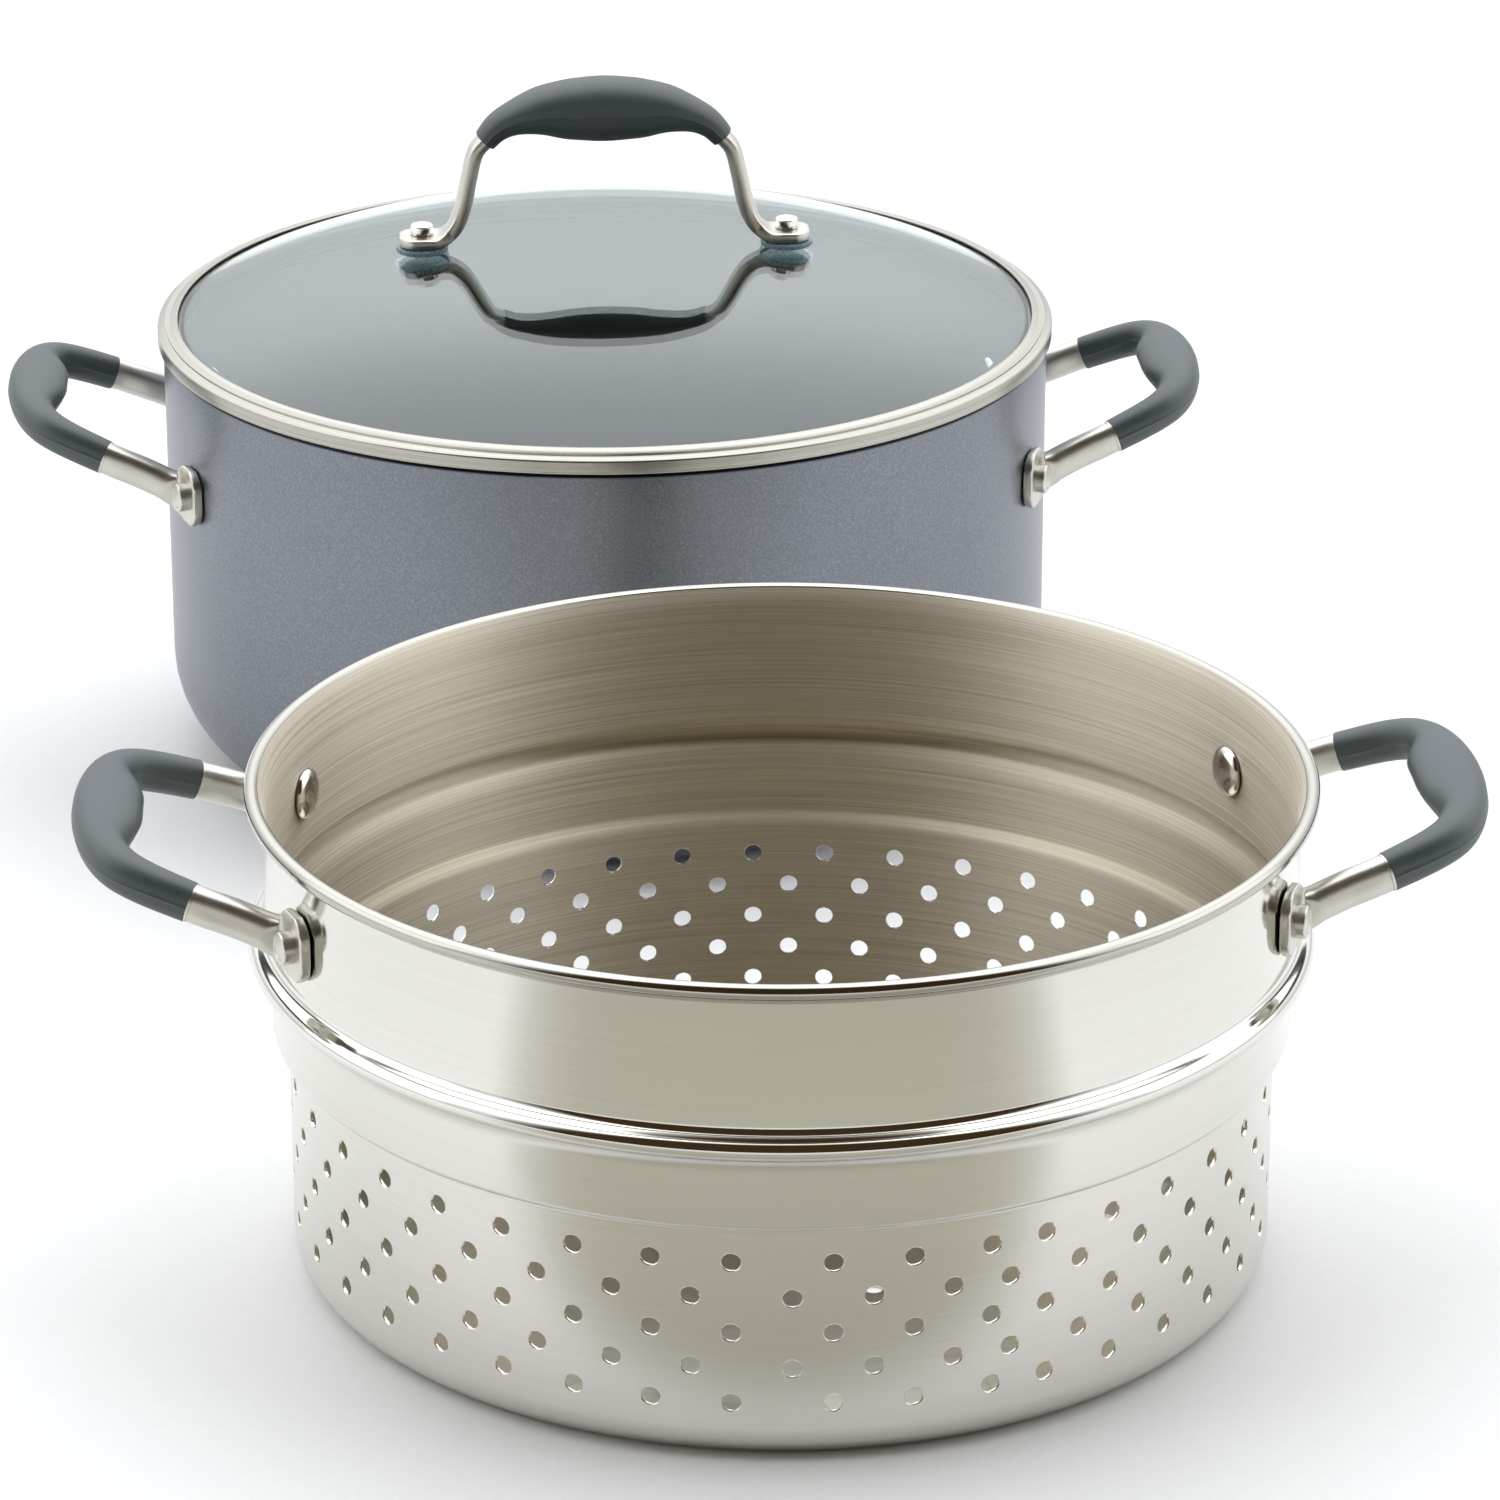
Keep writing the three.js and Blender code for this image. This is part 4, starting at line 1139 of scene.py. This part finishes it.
def make_side_handle(vessel, side, wall_radius, wall, level, slope, place):
    turn = 0 if side == "right" else math.pi
    points, angle = side_handle_points(wall_radius, level, slope)
    bow = Bow(points)
    up = Vector((0, 0, 1))
    start = GRIP_POINT
    end = len(points) - 1 - start
    plate_end = TAB_WIDTH - TAB_CHAMFER
    thickened = TAB_WIDTH + ARM_THICKENED
    sizes = (
        [*tab_end(TAB_HEIGHT, TAB_CHAMFER), (plate_end, TAB_HEIGHT),
         (TAB_WIDTH - ARM_NECK_BEFORE, ARM[0] + ARM_NECK_EXTRA), (TAB_WIDTH + ARM_NARROWED, ARM[0])],
        [*tab_bevel(TAB_THICKNESS), (plate_end, TAB_THICKNESS), (thickened, ARM[1])],
        [(0, PLATE_SQUARENESS), (plate_end, PLATE_SQUARENESS), (thickened, BAR_SQUARENESS)],
    )
    steel = Skin()
    closed_bar(steel, arm_rings(bow, 0, start - ARM_GAP, up, sizes))
    closed_bar(steel, arm_rings(bow, len(points) - 1, end + ARM_GAP, up, sizes))
    collar = (GRIP_ACROSS[0] - COLLAR_INSET, GRIP_THICK[0] - COLLAR_INSET)
    closed_bar(steel, collar_rings(bow, start, 1, up, *collar))
    closed_bar(steel, collar_rings(bow, end, -1, up, *collar))
    spin = Matrix.Rotation(turn, 4, "Z")
    put(steel, spin)
    base = f"{vessel}_{side}_handle"
    piece(f"{base}_arms", steel, ["satin_steel"], vessel, [f"{base}_frame"], place)
    soft = Skin()
    girth = mirrored_girth(GRIP_ACROSS, GRIP_THICK)
    closed_bar(soft, grip_rings(bow, start, girth, up, SIDE_SEAM, pad=True))
    put(soft, spin)
    piece(f"{base}_sleeve", soft, ["soft_grip"], vessel, [f"{base}_grip"], place)
    front = -1 if side == "right" else 1
    for end_name, sign in (("front", front), ("rear", -front)):
        name = f"{base}_{end_name}_rivet"
        make_rivet(f"{name}_pin", vessel, name, wall_radius, wall, level, sign * angle, turn, place)


def make_lid_handle():
    washer_bottom = glass_top(STUD_SPREAD - WASHER_RADIUS) + SEAT_GAP
    tab_bottom = washer_bottom + UPPER_WASHER + SEAT_GAP
    level = tab_bottom + LID_TAB_THICKNESS / 2
    half = [(STUD_SPREAD + LID_TAB_OUTER, 0), (STUD_SPREAD, 0), *LID_ARM_POINTS, *LID_GRIP_POINTS]
    start = len(half) - len(LID_GRIP_POINTS)
    points = [(-x, 0, level + rise) for x, rise in half]
    points += [(x, 0, level + rise) for x, rise in half[-2::-1]]
    bow = Bow(points)
    across = Vector((0, 1, 0))
    end = len(points) - 1 - start
    sizes = (
        [*tab_end(LID_TAB_WIDTH, LID_TAB_CHAMFER), (LID_TAB_END, LID_TAB_WIDTH),
         (LID_NECK_END, LID_ARM[0] + LID_NECK_EXTRA), (LID_ARM_NARROWED, LID_ARM[0])],
        [*tab_bevel(LID_TAB_THICKNESS), (LID_PLATE_END, LID_TAB_THICKNESS), (LID_ARM_THICKENED, LID_ARM[1])],
        [(0, PLATE_SQUARENESS), (LID_PLATE_END, PLATE_SQUARENESS), (LID_ARM_THICKENED, BAR_SQUARENESS)],
    )
    steel = Skin()
    closed_bar(steel, arm_rings(bow, 0, start - ARM_GAP, across, sizes, LID_ARM_STEPS))
    closed_bar(steel, arm_rings(bow, len(points) - 1, end + ARM_GAP, across, sizes, LID_ARM_STEPS))
    piece("lid_handle_arms", steel, ["satin_steel"], "lid", ["lid_handle_frame"])
    soft = Skin()
    girth = mirrored_girth(LID_GRIP_ACROSS, LID_GRIP_THICK)
    closed_bar(soft, grip_rings(bow, start, girth, across, LID_SEAM))
    piece("lid_handle_sleeve", soft, ["soft_grip"], "lid", ["lid_handle_grip"])
    for side, sign in (("right", 1), ("left", -1)):
        make_stud(side, sign * STUD_SPREAD, washer_bottom, tab_bottom + LID_TAB_THICKNESS)


def make_stud(side, x, washer_bottom, tab_top):
    lower_top = glass_top(STUD_SPREAD + WASHER_RADIUS) - GLASS_THICKNESS - SEAT_GAP
    nut_top = lower_top - LOWER_WASHER - SEAT_GAP
    head_foot = tab_top + SEAT_GAP / 2
    head_top = head_foot + STUD_HEAD_HEIGHT
    place = (x, 0, 0)
    stud = Skin()
    end = dished_pin(STUD_HEAD, head_foot, head_top, STUD_HEAD_ROUND, STUD_DISH, STUD_DISH_DEPTH)
    spun(stud, end, PIN_COLUMNS)
    piece(f"lid_{side}_stud_head", stud, ["polished_pin"], "lid", [f"lid_{side}_stud"], place)
    for name, bottom, height in (
        ("upper", washer_bottom, UPPER_WASHER),
        ("lower", lower_top - LOWER_WASHER, LOWER_WASHER),
    ):
        washer = Skin()
        spun(washer, rounded([
            (0, bottom, 0),
            (WASHER_RADIUS, bottom, WASHER_FOOT_ROUND),
            (WASHER_RADIUS, bottom + height, WASHER_TOP_ROUND),
            (0, bottom + height, 0),
        ]), 2 * PIN_COLUMNS)
        base = f"lid_{side}_{name}"
        piece(f"{base}_ring", washer, ["soft_washer"], "lid", [f"{base}_washer"], place)
    nut = Skin()
    dome = [Vector((0, nut_top)), Vector((NUT_RADIUS, nut_top))]
    dome += falling_dome(NUT_RADIUS, nut_top, NUT_HEIGHT, NUT_DOME_STEPS, 1)
    spun(nut, dome, PIN_COLUMNS)
    piece(f"lid_{side}_cap_nut", nut, ["polished_pin"], "lid", [f"lid_{side}_nut"], place)


def make_studio():
    scene = bpy.context.scene
    scene.view_settings.view_transform = "Standard"
    camera_data = bpy.data.cameras.new("photo_camera")
    camera_data.lens = CAMERA_LENS
    camera_data.sensor_width = CAMERA_SENSOR
    camera = bpy.data.objects.new("photo_camera", camera_data)
    camera.location = CAMERA_PLACE
    camera.rotation_euler = [math.radians(angle) for angle in CAMERA_TILT]
    scene.collection.objects.link(camera)
    scene.camera = camera
    make_floor()
    make_world()
    for name, place in LAMPS.items():
        lamp_data = bpy.data.lights.new(name, "AREA")
        lamp_data.shape = "RECTANGLE"
        lamp_data.size, lamp_data.size_y = LAMP_SIZE
        lamp_data.energy = LAMP_POWER
        lamp = bpy.data.objects.new(name, lamp_data)
        lamp.location = place
        lamp.rotation_euler = (Vector(LAMP_AIM) - Vector(place)).to_track_quat("-Z", "Y").to_euler()
        scene.collection.objects.link(lamp)


def make_floor():
    finish = Finish("pale_floor", Roughness=0.9)
    place = finish.place()
    x, y, _ = finish.axes(place)
    # Painted shade: a soft darker fan on the floor in front of the insert, between FRONT_EDGE and FRONT_END
    turn = math.radians(-CAMERA_TILT[2])
    ahead = math.sin(turn) * x + math.cos(turn) * y
    aside = math.cos(turn) * x - math.sin(turn) * y - FRONT_FAN_APEX[0]
    reach = FRONT_FAN_APEX[1] - ahead
    fan = finish.ranged(aside * aside / (reach * reach), *FRONT_FAN, 1, 0, "SMOOTHSTEP")
    begun = finish.ranged(ahead, *FRONT_EDGE, 1, 0, "SMOOTHSTEP")
    painted_floor_shade = fan * begun * finish.ranged(ahead, *FRONT_END, 0, 1, "SMOOTHSTEP")
    grain = finish.noise(place, scale=300, detail=2)
    pale = finish.between(grain, colour(0.85, 0.85, 0.845), colour(0.89, 0.89, 0.885))
    # The pale floor with the painted shade's colour mixed in
    finish.feed("Base Color", finish.between(painted_floor_shade, pale, colour(0.44, 0.42, 0.355)))
    mesh = bpy.data.meshes.new("pale_floor")
    sheet = bmesh.new()
    bmesh.ops.create_circle(sheet, cap_ends=True, segments=FLOOR_SIDES, radius=FLOOR_REACH)
    sheet.to_mesh(mesh)
    sheet.free()
    mesh.materials.append(finish.material)
    floor = bpy.data.objects.new("pale_floor", mesh)
    bpy.context.scene.collection.objects.link(floor)


def make_world():
    """Studio that is bright behind the object and overhead, and dark towards the camera."""
    world = bpy.data.worlds.new("studio")
    world.use_nodes = True
    bpy.context.scene.world = world
    studio = Finish.of_tree(world.node_tree, world.node_tree.nodes["Background"])
    direction = studio.add("ShaderNodeTexCoord", {}, {}, "Generated")
    side, back, up = studio.axes(direction)
    above = up.or_more(0)
    high = studio.ranged(above, 0, HIGH_LEVEL, 0, HIGH_LIGHT, "SMOOTHSTEP")
    near, far = (reach ** 2 for reach in HIGH_HALF_WIDTH)
    narrowed = studio.ranged(side * side, near, far, 1, HIGH_SIDE_SHARE)
    lit = SIDE_LIGHT + high * narrowed + OVERHEAD_LIGHT * above ** OVERHEAD_TIGHTNESS
    beside = studio.ranged(side * side / (back * back), *DARK_FRONT_FAN, 0, 1)
    behind = studio.ranged(back, *DARK_TOP, 0, 1)
    share = beside.or_more(behind)
    studio.feed("Strength", FRONT_LIGHT + share * lit)
    tinted = studio.ranged(share, 0, TINT_END, 0, 1)
    studio.feed("Color", studio.between(tinted, FRONT_TINT, LIGHT_TINT))


make_pot()
make_lid()
make_lid_handle()
make_basket()
for side_name in ("right", "left"):
    make_side_handle("pot", side_name, POT_RADIUS, POT_WALL, POT_RIVET_LEVEL, POT_BOW_SLOPE, (0, 0, 0))
    make_side_handle(
        "insert", side_name, UPPER_RADIUS, SHEET, INSERT_RIVET_LEVEL, INSERT_BOW_SLOPE, INSERT_PLACE)
make_studio()
